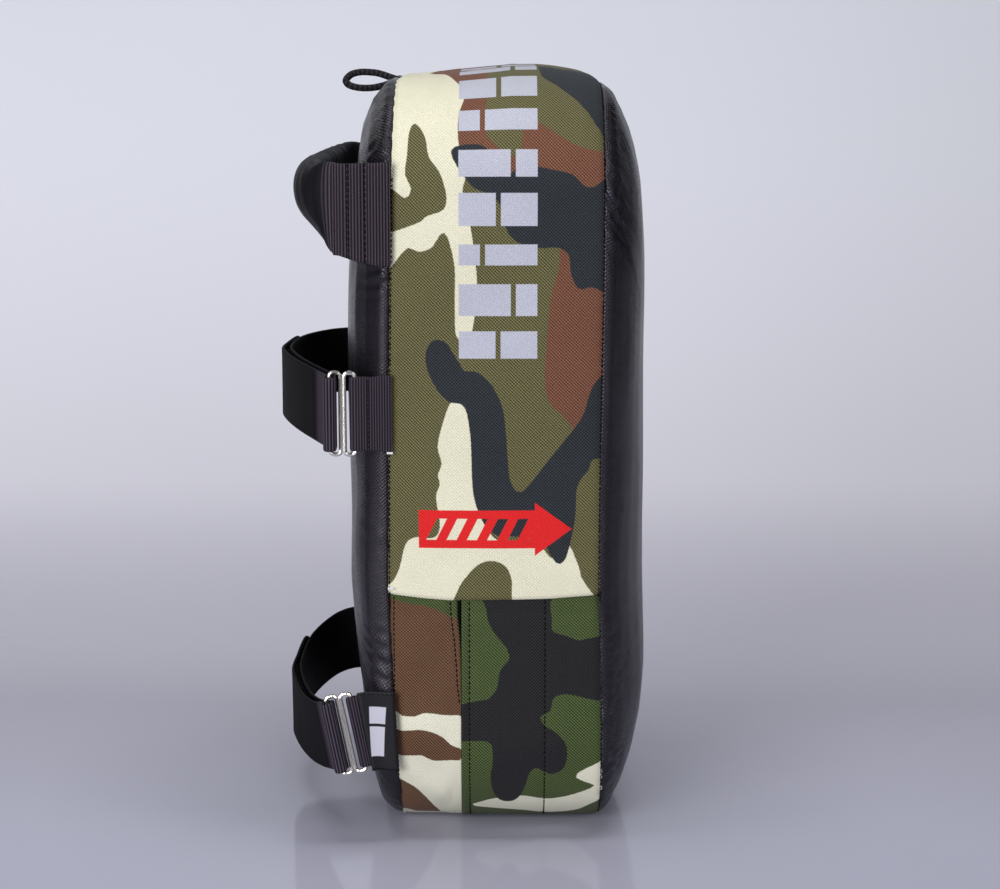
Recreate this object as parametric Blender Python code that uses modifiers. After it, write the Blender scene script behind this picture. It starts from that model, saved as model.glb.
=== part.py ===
"""A muay Thai kick pad standing on its short end.

The strike face looks along +X and the forearm side along -X, the pad is wide along Y and tall along Z.
The origin is the centre of the flat underside. A foam core of three slabs sits in a cover of two leather
panels and a fabric gusset. The gusset's lower half is an opening that closes with hook-and-loop tape. The
forearm side carries a padded handle and two straps, each run through a double wire slide.
"""

import math

import bmesh
import bpy
from mathutils import Matrix, Vector

MM = 0.001
GAP = 0.3 * MM  # between pieces that touch

# The pad.
HEIGHT = 400 * MM
HALF_WIDTH = 100 * MM
CORNER = 58 * MM  # radius of the outline's four corners
HALF_GUSSET = 55 * MM
HEM = 131 * MM  # height at which the upper gusset's hem covers the lower gusset
CORNER_STEPS = 6

# The dished panels: how far in from the outline, and how far out from the seam.
PANEL_LEVELS = ((0, 0.06), (5, 0.22), (14, 0.47), (28, 0.74), (52, 1.0))
STRIKE_RISE = 21.2 * MM
BACK_RISE = 26.0 * MM

# Cloths and tapes.
CLOTH = 1.0 * MM
LEATHER = 1.2 * MM
TAPE = 1.0 * MM
WEBBING = 1.4 * MM

# The closure: the front flap covers the rear flap's tongue, with the two tapes between them.
FLAP_EDGE = -19 * MM  # X of the front flap's free edge
TONGUE_EDGE = 26 * MM  # X of the rear tongue's edge
TAPE_FROM = -14 * MM
TAPE_TO = 23 * MM

# The foam slabs.
CORE_DEPTH = 5.4 * MM  # below the outline, clear of the closure's layers
CORE_SPLIT = 18 * MM
CORE_SINK = 2.4 * MM  # below the dished panels

# The straps and their slides.
STRAP = 38 * MM
SLIDE_WIRE = 2.2 * MM
SLIDE_LOOP = 5.5 * MM  # between the centres of one loop's two bars
SLIDE_MIDDLE = 2.0 * MM  # between the centres of the two middle bars, which are welded
SLIDE_HALF_BAR = 19.2 * MM
SLIDE_CORNER = 2.0 * MM
SLIDE_Y = -101.5 * MM
TAB_BAR_X = -73.2 * MM
STRAP_BAR_X = TAB_BAR_X - 2 * SLIDE_LOOP - SLIDE_MIDDLE
SLIDE_CENTRE_X = (TAB_BAR_X + STRAP_BAR_X) / 2
SEWN_Y = 101.2 * MM  # middle of a webbing sewn into the seam
TAIL = 1.6 * MM
TAIL_END_Y = 45 * MM
STUB_END_Y = -92 * MM  # of the strap's short end, which the tail is sewn to
TAIL_PIVOT = (-91.0 * MM, -90.2 * MM)
FOLD_ROOM = 2.5 * MM  # of slack below the bar, so that the slide can rock

MID_HEIGHT = 230 * MM
LOWER_HEIGHT = 60 * MM
LOWER_SAG = 14 * MM
LOWER_LEAN = math.radians(11.5)

# The strap's middle line in plan, in millimetres, from the slide round to the far seam.
STRAP_LINE = (
    (-83.6, -97),
    (-84.6, -90),
    (-91, -72),
    (-103.5, -36),
    (-113, 0),
    (-116, 26),
    (-112, 64),
    (-99, 91),
    (-84, 101.2),
    (-68, 101.2),
    (-55, 101.2),
)

# The handle.
HANDLE_HEIGHT = 336 * MM
ANCHOR = 50 * MM
ANCHOR_END_X = -82 * MM
HANDLE_PIVOT_X = -79 * MM
GRIP_HALF = (17.5 * MM, 8.5 * MM)  # half height, half thickness
GRIP_LINE = ((-94.5, -87, 0.8), (-97.2, -72, 0.96), (-99.5, -40, 1), (-100, 0, 1))
COVER = 1.2 * MM
GRIP_WEB = 20 * MM
GRIP_WEB_LINE = ((-75, -99.4), (-84, -99.4), (-90, -95), (-93.2, -87), (-94.4, -72), (-96.4, -40), (-97, 0))
GRIP_SIDES = 16

# The hang loop, as distances out from its foot and to its side.
LOOP_CORD = 3.3 * MM
LOOP_FOOT = (-58.8 * MM, 400.0 * MM)  # X and Z
LOOP_OUT = ((0, 1.8), (6, 3.4), (12, 4.7))
LOOP_BEND = (18.5, 6.3, 5.2)  # where the bend starts, its reach and its half width
LOOP_TILT = 0.7  # how far the loop's far end is turned on edge
LOOP_DROOP = 3.5 * MM

BLACK_WEB = (0.012, 0.011, 0.014)
BLACK_LEATHER = (0.014, 0.014, 0.018)


def clear_scene():
    for item in list(bpy.data.objects):
        bpy.data.objects.remove(item, do_unlink=True)


def new_collection(name):
    made = bpy.data.collections.new(name)
    bpy.context.scene.collection.children.link(made)
    return made


def material(name, colour, roughness, metallic=0.0):
    made = bpy.data.materials.new(name)
    made.use_nodes = True
    shader = made.node_tree.nodes["Principled BSDF"]
    shader.inputs["Base Color"].default_value = (*colour, 1)
    shader.inputs["Roughness"].default_value = roughness
    shader.inputs["Metallic"].default_value = metallic
    made.diffuse_color = (*colour, 1)
    return made


def add(name, mesh, colour, roughness=0.7, metallic=0.0):
    """A node of the pad from a mesh in world coordinates."""
    item = bpy.data.objects.new(name, mesh)
    PAD.objects.link(item)
    item.data.materials.clear()
    item.data.materials.append(material(name, colour, roughness, metallic))
    return item


def cutter(name, mesh):
    item = bpy.data.objects.new(name, mesh)
    CUTTERS.objects.link(item)
    item.hide_render = True
    item.display_type = "WIRE"
    return item


def thicken(item, thickness, offset=0.0):
    solid = item.modifiers.new("thickness", "SOLIDIFY")
    solid.thickness = thickness
    solid.offset = offset
    solid.use_even_offset = True
    return item


def boolean(item, other, operation):
    step = item.modifiers.new(operation.lower(), "BOOLEAN")
    step.operation = operation
    step.solver = "EXACT"
    step.object = other


def pivot_at(item, point):
    """Moves the origin to a joint's axis, and leaves the shape where it is."""
    item.data.transform(Matrix.Translation(-Vector(point)))
    item.location = point


def curve_mesh(curve, placing):
    """The mesh that Blender makes of a curve, welded and placed."""
    item = bpy.data.objects.new("curve", curve)
    bpy.context.scene.collection.objects.link(item)
    bpy.context.view_layer.update()
    mesh = bpy.data.meshes.new_from_object(item.evaluated_get(bpy.context.evaluated_depsgraph_get()))
    bpy.data.objects.remove(item, do_unlink=True)
    bpy.data.curves.remove(curve)
    shape = bmesh.new()
    shape.from_mesh(mesh)
    bmesh.ops.remove_doubles(shape, verts=shape.verts, dist=1e-6)
    if all(edge.is_manifold for edge in shape.edges):
        bmesh.ops.recalc_face_normals(shape, faces=shape.faces)
    shape.to_mesh(mesh)
    shape.free()
    mesh.transform(placing)
    return mesh


def new_curve(points, cyclic=False, flat=True):
    curve = bpy.data.curves.new("line", "CURVE")
    curve.dimensions = "2D" if flat else "3D"
    curve.twist_mode = "Z_UP"
    curve.fill_mode = "BOTH" if flat else "FULL"
    curve.render_resolution_u = 0
    line = curve.splines.new("POLY")
    line.points.add(len(points) - 1)
    for place, point in zip(line.points, points):
        place.co = (*point, 0, 1) if len(point) == 2 else (*point, 1)
    line.use_cyclic_u = cyclic
    return curve


# Local x, y, z of a curve become world Y, Z, X on the pad's side, and X, Z, -Y on its near face.
ON_SIDE = Matrix(((0, 0, 1), (1, 0, 0), (0, 1, 0))).to_4x4()
ON_FACE = Matrix(((1, 0, 0), (0, 0, -1), (0, 1, 0))).to_4x4()


def arc(centre, radius, start, end, steps):
    """Points of an arc, with its angles in degrees."""
    angles = [math.radians(start + (end - start) * i / steps) for i in range(steps + 1)]
    return [(centre[0] + radius * math.cos(a), centre[1] + radius * math.sin(a)) for a in angles]


def smooth(points, steps=4):
    """A Catmull-Rom line through the points."""
    ends = [2 * Vector(points[0]) - Vector(points[1])]
    knots = ends + [Vector(p) for p in points] + [2 * Vector(points[-1]) - Vector(points[-2])]
    line = []
    for a, b, c, d in zip(knots, knots[1:], knots[2:], knots[3:]):
        for i in range(steps):
            t = i / steps
            line.append(
                (2 * b + (c - a) * t + (2 * a - 5 * b + 4 * c - d) * t * t + (3 * b - a - 3 * c + d) * t**3) / 2
            )
    line.append(knots[-2])
    return [tuple(p) for p in line]


def in_mm(points):
    return [tuple(value * MM for value in point) for point in points]


def beside(points, distance):
    """The line moved sideways, to the left of its direction."""
    moved = []
    for i, point in enumerate(points):
        before = Vector(points[max(i - 1, 0)])
        after = Vector(points[min(i + 1, len(points) - 1)])
        along = (after - before).normalized()
        moved.append((point[0] - along.y * distance, point[1] + along.x * distance))
    return moved


def ribbon(name, points, width, thickness, centre, colour, placing=None, roughness=0.7):
    """A tape of this width whose middle follows the points, edge on."""
    curve = new_curve(points)
    curve.extrude = width / 2
    mesh = curve_mesh(curve, Matrix.Translation(centre) @ (placing or Matrix()))
    return thicken(add(name, mesh, colour, roughness), thickness)


def leg_line(depth, leg_end):
    """Up one side, over the top and down the other, this deep below the outline, as Y and Z."""
    radius = CORNER - depth
    side = HALF_WIDTH - depth
    inner, top = HALF_WIDTH - CORNER, HEIGHT - CORNER
    near = arc((-inner, top), radius, 180, 90, CORNER_STEPS)
    far = arc((inner, top), radius, 90, 0, CORNER_STEPS)
    return [(-side, leg_end), *near, *far, (side, leg_end)]


def below_hem(depth):
    return [(y, HEIGHT - z) for y, z in leg_line(depth, HEIGHT - HEM + GAP)]


def bridged(rows, closed):
    """A sheet through rows of points, each row an open line or a closed ring."""
    shape = bmesh.new()
    verts = [[shape.verts.new(point) for point in row] for row in rows]
    edges = []
    for row in verts:
        ends = zip(row, row[1:] + row[:1]) if closed else zip(row, row[1:])
        edges.append([shape.edges.new(pair) for pair in ends])
    for first, second in zip(edges, edges[1:]):
        bmesh.ops.bridge_loops(shape, edges=first + second)
    return shape, verts


def as_mesh(shape):
    mesh = bpy.data.meshes.new("sheet")
    bmesh.ops.recalc_face_normals(shape, faces=shape.faces)
    shape.to_mesh(mesh)
    shape.free()
    return mesh


def gusset_strip(name, x_from, x_to, depth, thickness, colour, below, roughness=0.8):
    """A strip of cloth round half of the outline: over the top, or below the hem and under the base."""
    middle = depth + thickness / 2
    line = below_hem(middle) if below else leg_line(middle, HEM)
    centre = ((x_from + x_to) / 2, 0, 0)
    return ribbon(name, line, x_to - x_from, thickness, centre, colour, ON_SIDE, roughness)


def outline(depth):
    upper = leg_line(depth, HEIGHT / 2)[1:-1]
    return upper + [(-y, HEIGHT - z) for y, z in upper]


def raised(mesh, side, first, levels, rise):
    """Insets the end cap on this side again and again, so that it rises into a dished crown."""
    shape = bmesh.new()
    shape.from_mesh(mesh)
    shape.normal_update()
    cap = [face for face in shape.faces if face.normal.x * side > 0.9]
    done_in, done_out = first, 0.0
    for inward, share in levels:
        step_in, step_out = inward * MM - done_in, share * rise - done_out
        bmesh.ops.inset_region(
            shape, faces=cap, thickness=step_in, depth=step_out, use_boundary=True, use_even_offset=True
        )
        done_in, done_out = inward * MM, share * rise
    shape.to_mesh(mesh)
    shape.free()


def panel(name, side, rise, colour):
    """A leather panel, sewn to the gusset's edge and dished outwards."""
    seam = side * (HALF_GUSSET + GAP)
    curve = new_curve(outline(0), cyclic=True)
    mesh = curve_mesh(curve, Matrix.Translation((seam, 0, 0)) @ ON_SIDE)
    if mesh.polygons[0].normal.x * side < 0:
        mesh.flip_normals()
    raised(mesh, side, 0, PANEL_LEVELS, rise - GAP)
    return thicken(add(name, mesh, colour, 0.35), LEATHER, -1)


def slab(name, x_from, x_to, colour):
    curve = new_curve(outline(CORE_DEPTH), cyclic=True)
    curve.extrude = (x_to - x_from) / 2
    mesh = curve_mesh(curve, Matrix.Translation(((x_from + x_to) / 2, 0, 0)) @ ON_SIDE)
    return add(name, mesh, colour, 0.9)


def foam_core():
    """Three slabs: firm against the strike face, soft in the middle, thin against the forearm."""
    shoulder = HALF_GUSSET - 1.5 * MM
    share = tuple((inward + 2, part) for inward, part in PANEL_LEVELS if inward > 5)
    front = slab("core_front", CORE_SPLIT + GAP, shoulder, (0.08, 0.08, 0.09))
    raised(front.data, 1, CORE_DEPTH, share, STRIKE_RISE - CORE_SINK)
    slab("core_mid", -CORE_SPLIT, CORE_SPLIT, (0.55, 0.53, 0.48))
    back = slab("core_back", -shoulder, -CORE_SPLIT - GAP, (0.16, 0.16, 0.18))
    raised(back.data, -1, CORE_DEPTH, share, BACK_RISE - CORE_SINK)


def cover():
    panel("strike_panel", 1, STRIKE_RISE, BLACK_LEATHER)
    panel("back_panel", -1, BACK_RISE, BLACK_LEATHER)
    gusset_strip("upper_gusset", -HALF_GUSSET, HALF_GUSSET, 0, CLOTH, (0.15, 0.15, 0.06), below=False)
    gusset_strip("lower_gusset_front", FLAP_EDGE, HALF_GUSSET, 0, CLOTH, (0.05, 0.09, 0.03), below=True)
    hook = CLOTH + GAP
    loop = hook + TAPE + GAP
    tongue = loop + TAPE + GAP
    gusset_strip("closure_hook_tape", TAPE_FROM, TAPE_TO, hook, TAPE, BLACK_WEB, below=True)
    gusset_strip("closure_loop_tape", TAPE_FROM, TAPE_TO, loop, TAPE, BLACK_WEB, below=True)
    rear_gusset(tongue)


def rear_gusset(tongue):
    """The rear flap lies flush with the front one, and steps inwards to pass below it."""
    flush, deep = CLOTH / 2, tongue + CLOTH / 2
    step = FLAP_EDGE - 4 * MM
    profile = ((-HALF_GUSSET, flush), (step, flush), (step + 3 * MM, deep), (TONGUE_EDGE, deep))
    rows = [[(x, y, z) for y, z in below_hem(depth)] for x, depth in profile]
    rear = add("lower_gusset_rear", as_mesh(bridged(rows, closed=False)[0]), (0.10, 0.04, 0.02), 0.8)
    thicken(rear, CLOTH)


def wire_loop(centre_x):
    """One rounded loop of the slide, as a closed wire in the plane of the near face."""
    half = SLIDE_LOOP / 2 - SLIDE_CORNER
    line = []
    for start, x, z in ((0, half, 1), (90, -half, 1), (180, -half, -1), (270, half, -1)):
        line += arc((centre_x + x, z * SLIDE_HALF_BAR), SLIDE_CORNER, start, start + 90, 4)
    curve = new_curve([(x, z, 0) for x, z in line], cyclic=True, flat=False)
    curve.bevel_depth = SLIDE_WIRE / 2
    curve.bevel_resolution = 2
    return curve_mesh(curve, ON_FACE)


def slide(name, height, lean):
    """Two wire loops welded side by side. The tab folds round one outer bar and the strap round the other."""
    reach = (SLIDE_LOOP + SLIDE_MIDDLE) / 2
    # The far loop stands a hair lower, so that the welded bars' facets cross instead of meeting.
    other = wire_loop(-reach)
    other.transform(Matrix.Translation((0, 0, 0.11 * MM)))
    placing = slide_frame(height, lean)
    near = wire_loop(reach)
    near.transform(placing)
    other.transform(placing)
    item = add(name, near, (0.72, 0.70, 0.66), 0.18, 1.0)
    boolean(item, cutter(name + "_loop", other), "UNION")
    axis_foot = placing @ Vector((TAB_BAR_X - SLIDE_CENTRE_X, 0, 0))
    pivot_at(item, axis_foot)


def slide_frame(height, lean):
    return Matrix.Translation((SLIDE_CENTRE_X, SLIDE_Y, height)) @ Matrix.Rotation(-lean, 4, "Y")


def strap_lines():
    """The strap's line with its fold round the bar, and the line without it that the layers outside follow."""
    arch = smooth(in_mm(STRAP_LINE))
    fold_y = SLIDE_Y - FOLD_ROOM
    radius = STRAP_BAR_X - arch[0][0]
    fold = arc((STRAP_BAR_X, fold_y), abs(radius), 180, 360, 6)
    stub_x = fold[0][0]
    stub = [(stub_x - 0.3 * MM, STUB_END_Y), (stub_x, -98.5 * MM)]
    return stub + fold + arch, arch


def settle(item, height, sag, lean):
    """Lets a level strap hang: it sags between its ends, and leans with the slide at the near end."""
    centre = Vector((SLIDE_CENTRE_X, 0, height))
    for vertex in item.data.vertices:
        place = vertex.co
        across = max(-1.0, min(1.0, place.y / HALF_WIDTH))
        droop = sag * max(0.0, 1 - across * across) if place.y > -0.09 else sag * 0.19 * fade(place.y, -0.1, -0.09)
        share = 1 - fade(place.y, -0.085, 0.03)
        if place.x > TAB_BAR_X:
            share = min(share, 1 - 0.75 * fade(place.x, TAB_BAR_X, -HALF_GUSSET))
        turn = Matrix.Rotation(-lean * share, 3, "Y")
        flat = Vector((place.x, 0, place.z)) - centre
        turned = turn @ flat
        vertex.co = (centre.x + turned.x, place.y, centre.z + turned.z - droop)


def fade(value, low, high):
    t = max(0.0, min(1.0, (value - low) / (high - low)))
    return t * t * (3 - 2 * t)


def between(points, y_from, y_to):
    return [point for point in points if y_from <= point[1] <= y_to]


def strap(prefix, height, sag, lean):
    """A strap: sewn at the far seam, round the arch, through the slide, and back over itself as the tail."""
    whole, arch = strap_lines()
    made = []

    def layer(name, line, width, thickness, colour, roughness=0.75):
        made.append(ribbon(name, line, width, thickness, (0, 0, height), colour, roughness=roughness))
        return made[-1]

    layer(prefix + "_strap", whole, STRAP, WEBBING, BLACK_WEB)
    # The layers outside the strap, from the loop tape out to the tail.
    loop = WEBBING / 2 + GAP + TAPE / 2
    hook = loop + TAPE + GAP
    tail = hook + TAPE / 2 + GAP + TAIL / 2
    layer(prefix + "_loop_tape", between(beside(arch, loop), -0.080, 0.090), STRAP - 6 * MM, TAPE, BLACK_WEB)
    moving = (
        layer(prefix + "_hook_tape", between(beside(arch, hook), -0.076, TAIL_END_Y), STRAP - 6 * MM, TAPE, BLACK_WEB),
        layer(prefix + "_tail", between(beside(arch, tail), -0.0905, TAIL_END_Y), STRAP, TAIL, (0.02, 0.02, 0.022)),
    )
    tab_line, label_line = tab_lines()
    layer(prefix + "_tab", tab_line, STRAP, WEBBING, BLACK_WEB)
    if prefix == "lower":
        layer("label_patch", label_line, STRAP + 5 * MM, 0.8 * MM, (0.03, 0.03, 0.04))
    for item in made:
        settle(item, height, sag, lean)
    for item in moving:
        pivot_at(item, tail_pivot(height, sag, lean))
    slide(prefix + "_slide", height, lean)


def tail_pivot(height, sag, lean):
    """Where the tail is sewn to the strap's short end: it peels open about this upright line."""
    item = bpy.data.meshes.new("pivot")
    item.from_pydata([(*TAIL_PIVOT, height)], [], [])
    holder = bpy.data.objects.new("pivot", item)
    settle(holder, height, sag, lean)
    point = holder.data.vertices[0].co.copy()
    bpy.data.objects.remove(holder)
    bpy.data.meshes.remove(item)
    return point


def tab_lines():
    """The near tab folds round the slide's bar. The label lies on its outside."""
    bar = (TAB_BAR_X, SLIDE_Y)
    radius = SLIDE_WIRE / 2 + 0.4 * MM + WEBBING / 2
    out = in_mm([(-55.3, -101.2), (-62, -101.2), (-66, -102.0), (-70, -103.3)])
    fold = arc(bar, radius, 270, 90, 6)
    back = in_mm([(-70, -99.6), (-66, -100.0)])
    label = beside(out, WEBBING / 2 + GAP + 0.4 * MM)
    label = [(-53 * MM, label[0][1]), *label[1:]]
    return out + fold + back, label


def ellipse_ring(half_height, half_thickness):
    angles = [2 * math.pi * i / GRIP_SIDES for i in range(GRIP_SIDES)]
    return [(half_thickness * math.cos(a), half_height * math.sin(a)) for a in angles]


def grip_tube(inset, y_end):
    """A tube of elliptical section along the grip, smaller by the inset, as an open mesh."""
    half = [*GRIP_LINE, *[(x, -y, size) for x, y, size in reversed(GRIP_LINE[:-1])]]
    line = [point for point in smooth(half, 2) if abs(point[1]) <= y_end + 0.01]
    rings = []
    for x, y, size in line:
        ring = ellipse_ring(GRIP_HALF[0] * size - inset, GRIP_HALF[1] * size - inset)
        rings.append([(x * MM + dx, y * MM, HANDLE_HEIGHT + dz) for dx, dz in ring])
    return bridged(rings, closed=True)


def handle():
    """A padded grip on webbing that is sewn into both seams. The grip turns about its ends."""
    pivot = (HANDLE_PIVOT_X, 0, HANDLE_HEIGHT)
    centre = (0, 0, HANDLE_HEIGHT)
    for name, side in (("handle_near_anchor", -1), ("handle_far_anchor", 1)):
        line = [(-HALF_GUSSET - GAP, side * SEWN_Y), (ANCHOR_END_X, side * SEWN_Y)]
        ribbon(name, line, ANCHOR, WEBBING, centre, BLACK_WEB)
    half = in_mm(GRIP_WEB_LINE)
    line = smooth(half + [(x, -y) for x, y in reversed(half[:-1])], 2)
    webbing = ribbon("handle_webbing", line, GRIP_WEB, WEBBING, centre, BLACK_WEB)
    slot = ribbon("handle_slot", line, GRIP_WEB + 2 * GAP, WEBBING + 2 * GAP, centre, BLACK_WEB)
    PAD.objects.unlink(slot)
    CUTTERS.objects.link(slot)
    slot.hide_render = True
    slot.display_type = "WIRE"
    shape, _ = grip_tube(0, 87)
    sleeve = add("handle_cover", as_mesh(shape), (0.018, 0.018, 0.02), 0.6)
    thicken(sleeve, COVER, -1)
    shape, verts = grip_tube(COVER + GAP, 80)
    shape.faces.new(verts[0])
    shape.faces.new(reversed(verts[-1]))
    foam = add("handle_foam", as_mesh(shape), (0.12, 0.12, 0.13), 0.9)
    boolean(foam, slot, "DIFFERENCE")
    for item in (webbing, sleeve, foam):
        pivot_at(item, pivot)


def hang_loop():
    """A cord sewn into the top seam, out and back, turned half on edge at its far end."""
    start, reach, half = LOOP_BEND
    bend = [(start + reach * x, half * side) for x, side in arc((0, 0), 1, 90, -90, 8)]
    line = [*LOOP_OUT, *bend, *[(out, -side) for out, side in reversed(LOOP_OUT)]]
    points = []
    for out, side in line:
        part = min(1.0, out / 10)
        height = LOOP_FOOT[1] - LOOP_DROOP * out / (start + reach) + LOOP_TILT * part * side * MM
        points.append((LOOP_FOOT[0] - out * MM, side * MM, height))
    curve = new_curve(points, flat=False)
    curve.bevel_depth = LOOP_CORD / 2
    curve.bevel_resolution = 2
    curve.use_fill_caps = True
    add("hang_loop", curve_mesh(curve, Matrix()), BLACK_WEB, 0.8)


clear_scene()
PAD = new_collection("kick_pad")
CUTTERS = new_collection("kick_pad_cutters")
CUTTERS.hide_render = True
foam_core()
cover()
strap("mid", MID_HEIGHT, 0.0, 0.0)
strap("lower", LOWER_HEIGHT, LOWER_SAG, LOWER_LEAN)
handle()
hang_loop()
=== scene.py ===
import functools
import math

import bmesh
import bpy
import numpy as np
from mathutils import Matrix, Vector
from mathutils.kdtree import KDTree


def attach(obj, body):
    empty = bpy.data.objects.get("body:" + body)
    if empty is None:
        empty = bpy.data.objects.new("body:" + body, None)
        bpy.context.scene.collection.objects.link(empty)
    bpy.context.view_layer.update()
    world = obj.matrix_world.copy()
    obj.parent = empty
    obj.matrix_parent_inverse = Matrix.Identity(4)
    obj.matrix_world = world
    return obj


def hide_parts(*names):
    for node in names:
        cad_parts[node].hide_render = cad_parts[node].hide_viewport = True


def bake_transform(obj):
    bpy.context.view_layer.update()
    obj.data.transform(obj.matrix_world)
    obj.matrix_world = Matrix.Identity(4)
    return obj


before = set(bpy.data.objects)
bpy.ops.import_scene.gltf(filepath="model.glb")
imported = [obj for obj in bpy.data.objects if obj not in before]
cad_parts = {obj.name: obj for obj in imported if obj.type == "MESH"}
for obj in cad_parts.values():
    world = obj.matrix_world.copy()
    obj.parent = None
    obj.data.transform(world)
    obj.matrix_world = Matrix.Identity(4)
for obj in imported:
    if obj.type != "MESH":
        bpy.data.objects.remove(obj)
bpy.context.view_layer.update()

# A muay Thai kick pad on its short end. The strike face looks along +X, the forearm side along -X.
# Shapes are worked out in millimetres and written to meshes in metres. "Round" is the way along the
# pad's outline, from the floor up the near side (-Y), over the top and down the far side.
MM = 0.001
RNG_SEED = 7

# The outline: a rounded rectangle in Y and Z.
HALF_WIDTH, HEIGHT, CORNER = 100.0, 400.0, 58.0
FLAT = HALF_WIDTH - CORNER
SIDE = HEIGHT - 2 * CORNER
BEND = CORNER * math.pi / 2
AROUND = 2 * SIDE + 4 * FLAT + 4 * BEND
START = CORNER - BEND - FLAT  # round, at the middle of the base
TOP = START + AROUND / 2
HEM = 131.0

# Seams between cloth and leather, as height and X, and how far the cloth domes out between them:
# at the base, on the sides and at the top.
STRIKE_SEAM = ((0, 55.2), (26, 55.3), (78, 54.4), (132, 53.0), (211, 53.4), (288, 54.4), (400, 54.7))
BACK_SEAM = ((0, -51.0), (23, -51.7), (78, -54.5), (137, -57.2), (237, -56.4), (339, -54.6), (400, -53.2))
SIDE_DOME = ((-1, -1.5), (-0.85, -0.4), (-0.6, 0.7), (0, 1.5), (0.6, 0.7), (0.85, -0.4), (1, -1.5))
TOP_DOME = ((-1, -1.2), (-0.8, -0.7), (-0.58, 0.1), (-0.47, 0.9), (-0.25, 2.1), (0, 3.5), (0.12, 4.3), (0.35, 4.5),
            (0.47, 4.1), (0.58, 3.4), (0.7, 2.3), (0.81, 1.0), (0.94, -1.8), (1, -4.2))

# Panels: share of the way from the seam to the pad's middle line, and how far out from the seam.
STRIKE_TOP = ((0, 0), (0.036, 5.4), (0.1, 9.8), (0.18, 14.3), (0.26, 17.6), (0.373, 20.8), (0.59, 23.0), (1, 24.4))
STRIKE_LOW = ((0, 0), (0.05, 5.4), (0.12, 10.6), (0.24, 16.4), (0.32, 19.2), (0.4, 21.8), (0.55, 24.4),
              (0.75, 26.0), (1, 26.6))
BACK_TOP = ((0, 0), (0.015, 4.4), (0.084, 12.4), (0.19, 18.2), (0.325, 20.8), (0.79, 24), (1, 24.6))
BACK_LOW = ((0, 0), (0.03, 8), (0.06, 12), (0.12, 15), (0.2, 17), (0.38, 20), (0.82, 21.5), (1, 22))
SPINE = (130.0, 270.0)  # heights between which the pad's middle line runs
CROWN = 0.45  # share of the way in over which a face levels off

LEATHER, CLOTH = 1.2, 1.0
PITCH = 3.0  # between stitches


def srgb(red, green, blue):
    """A colour as a screen shows it, for the shader."""
    shares = [c / 255 for c in (red, green, blue)]
    return tuple(c / 12.92 if c * 255 < 10.3 else ((c + 0.055) / 1.055) ** 2.4 for c in shares) + (1,)


# ---------------------------------------------------------------- finishes


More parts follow.
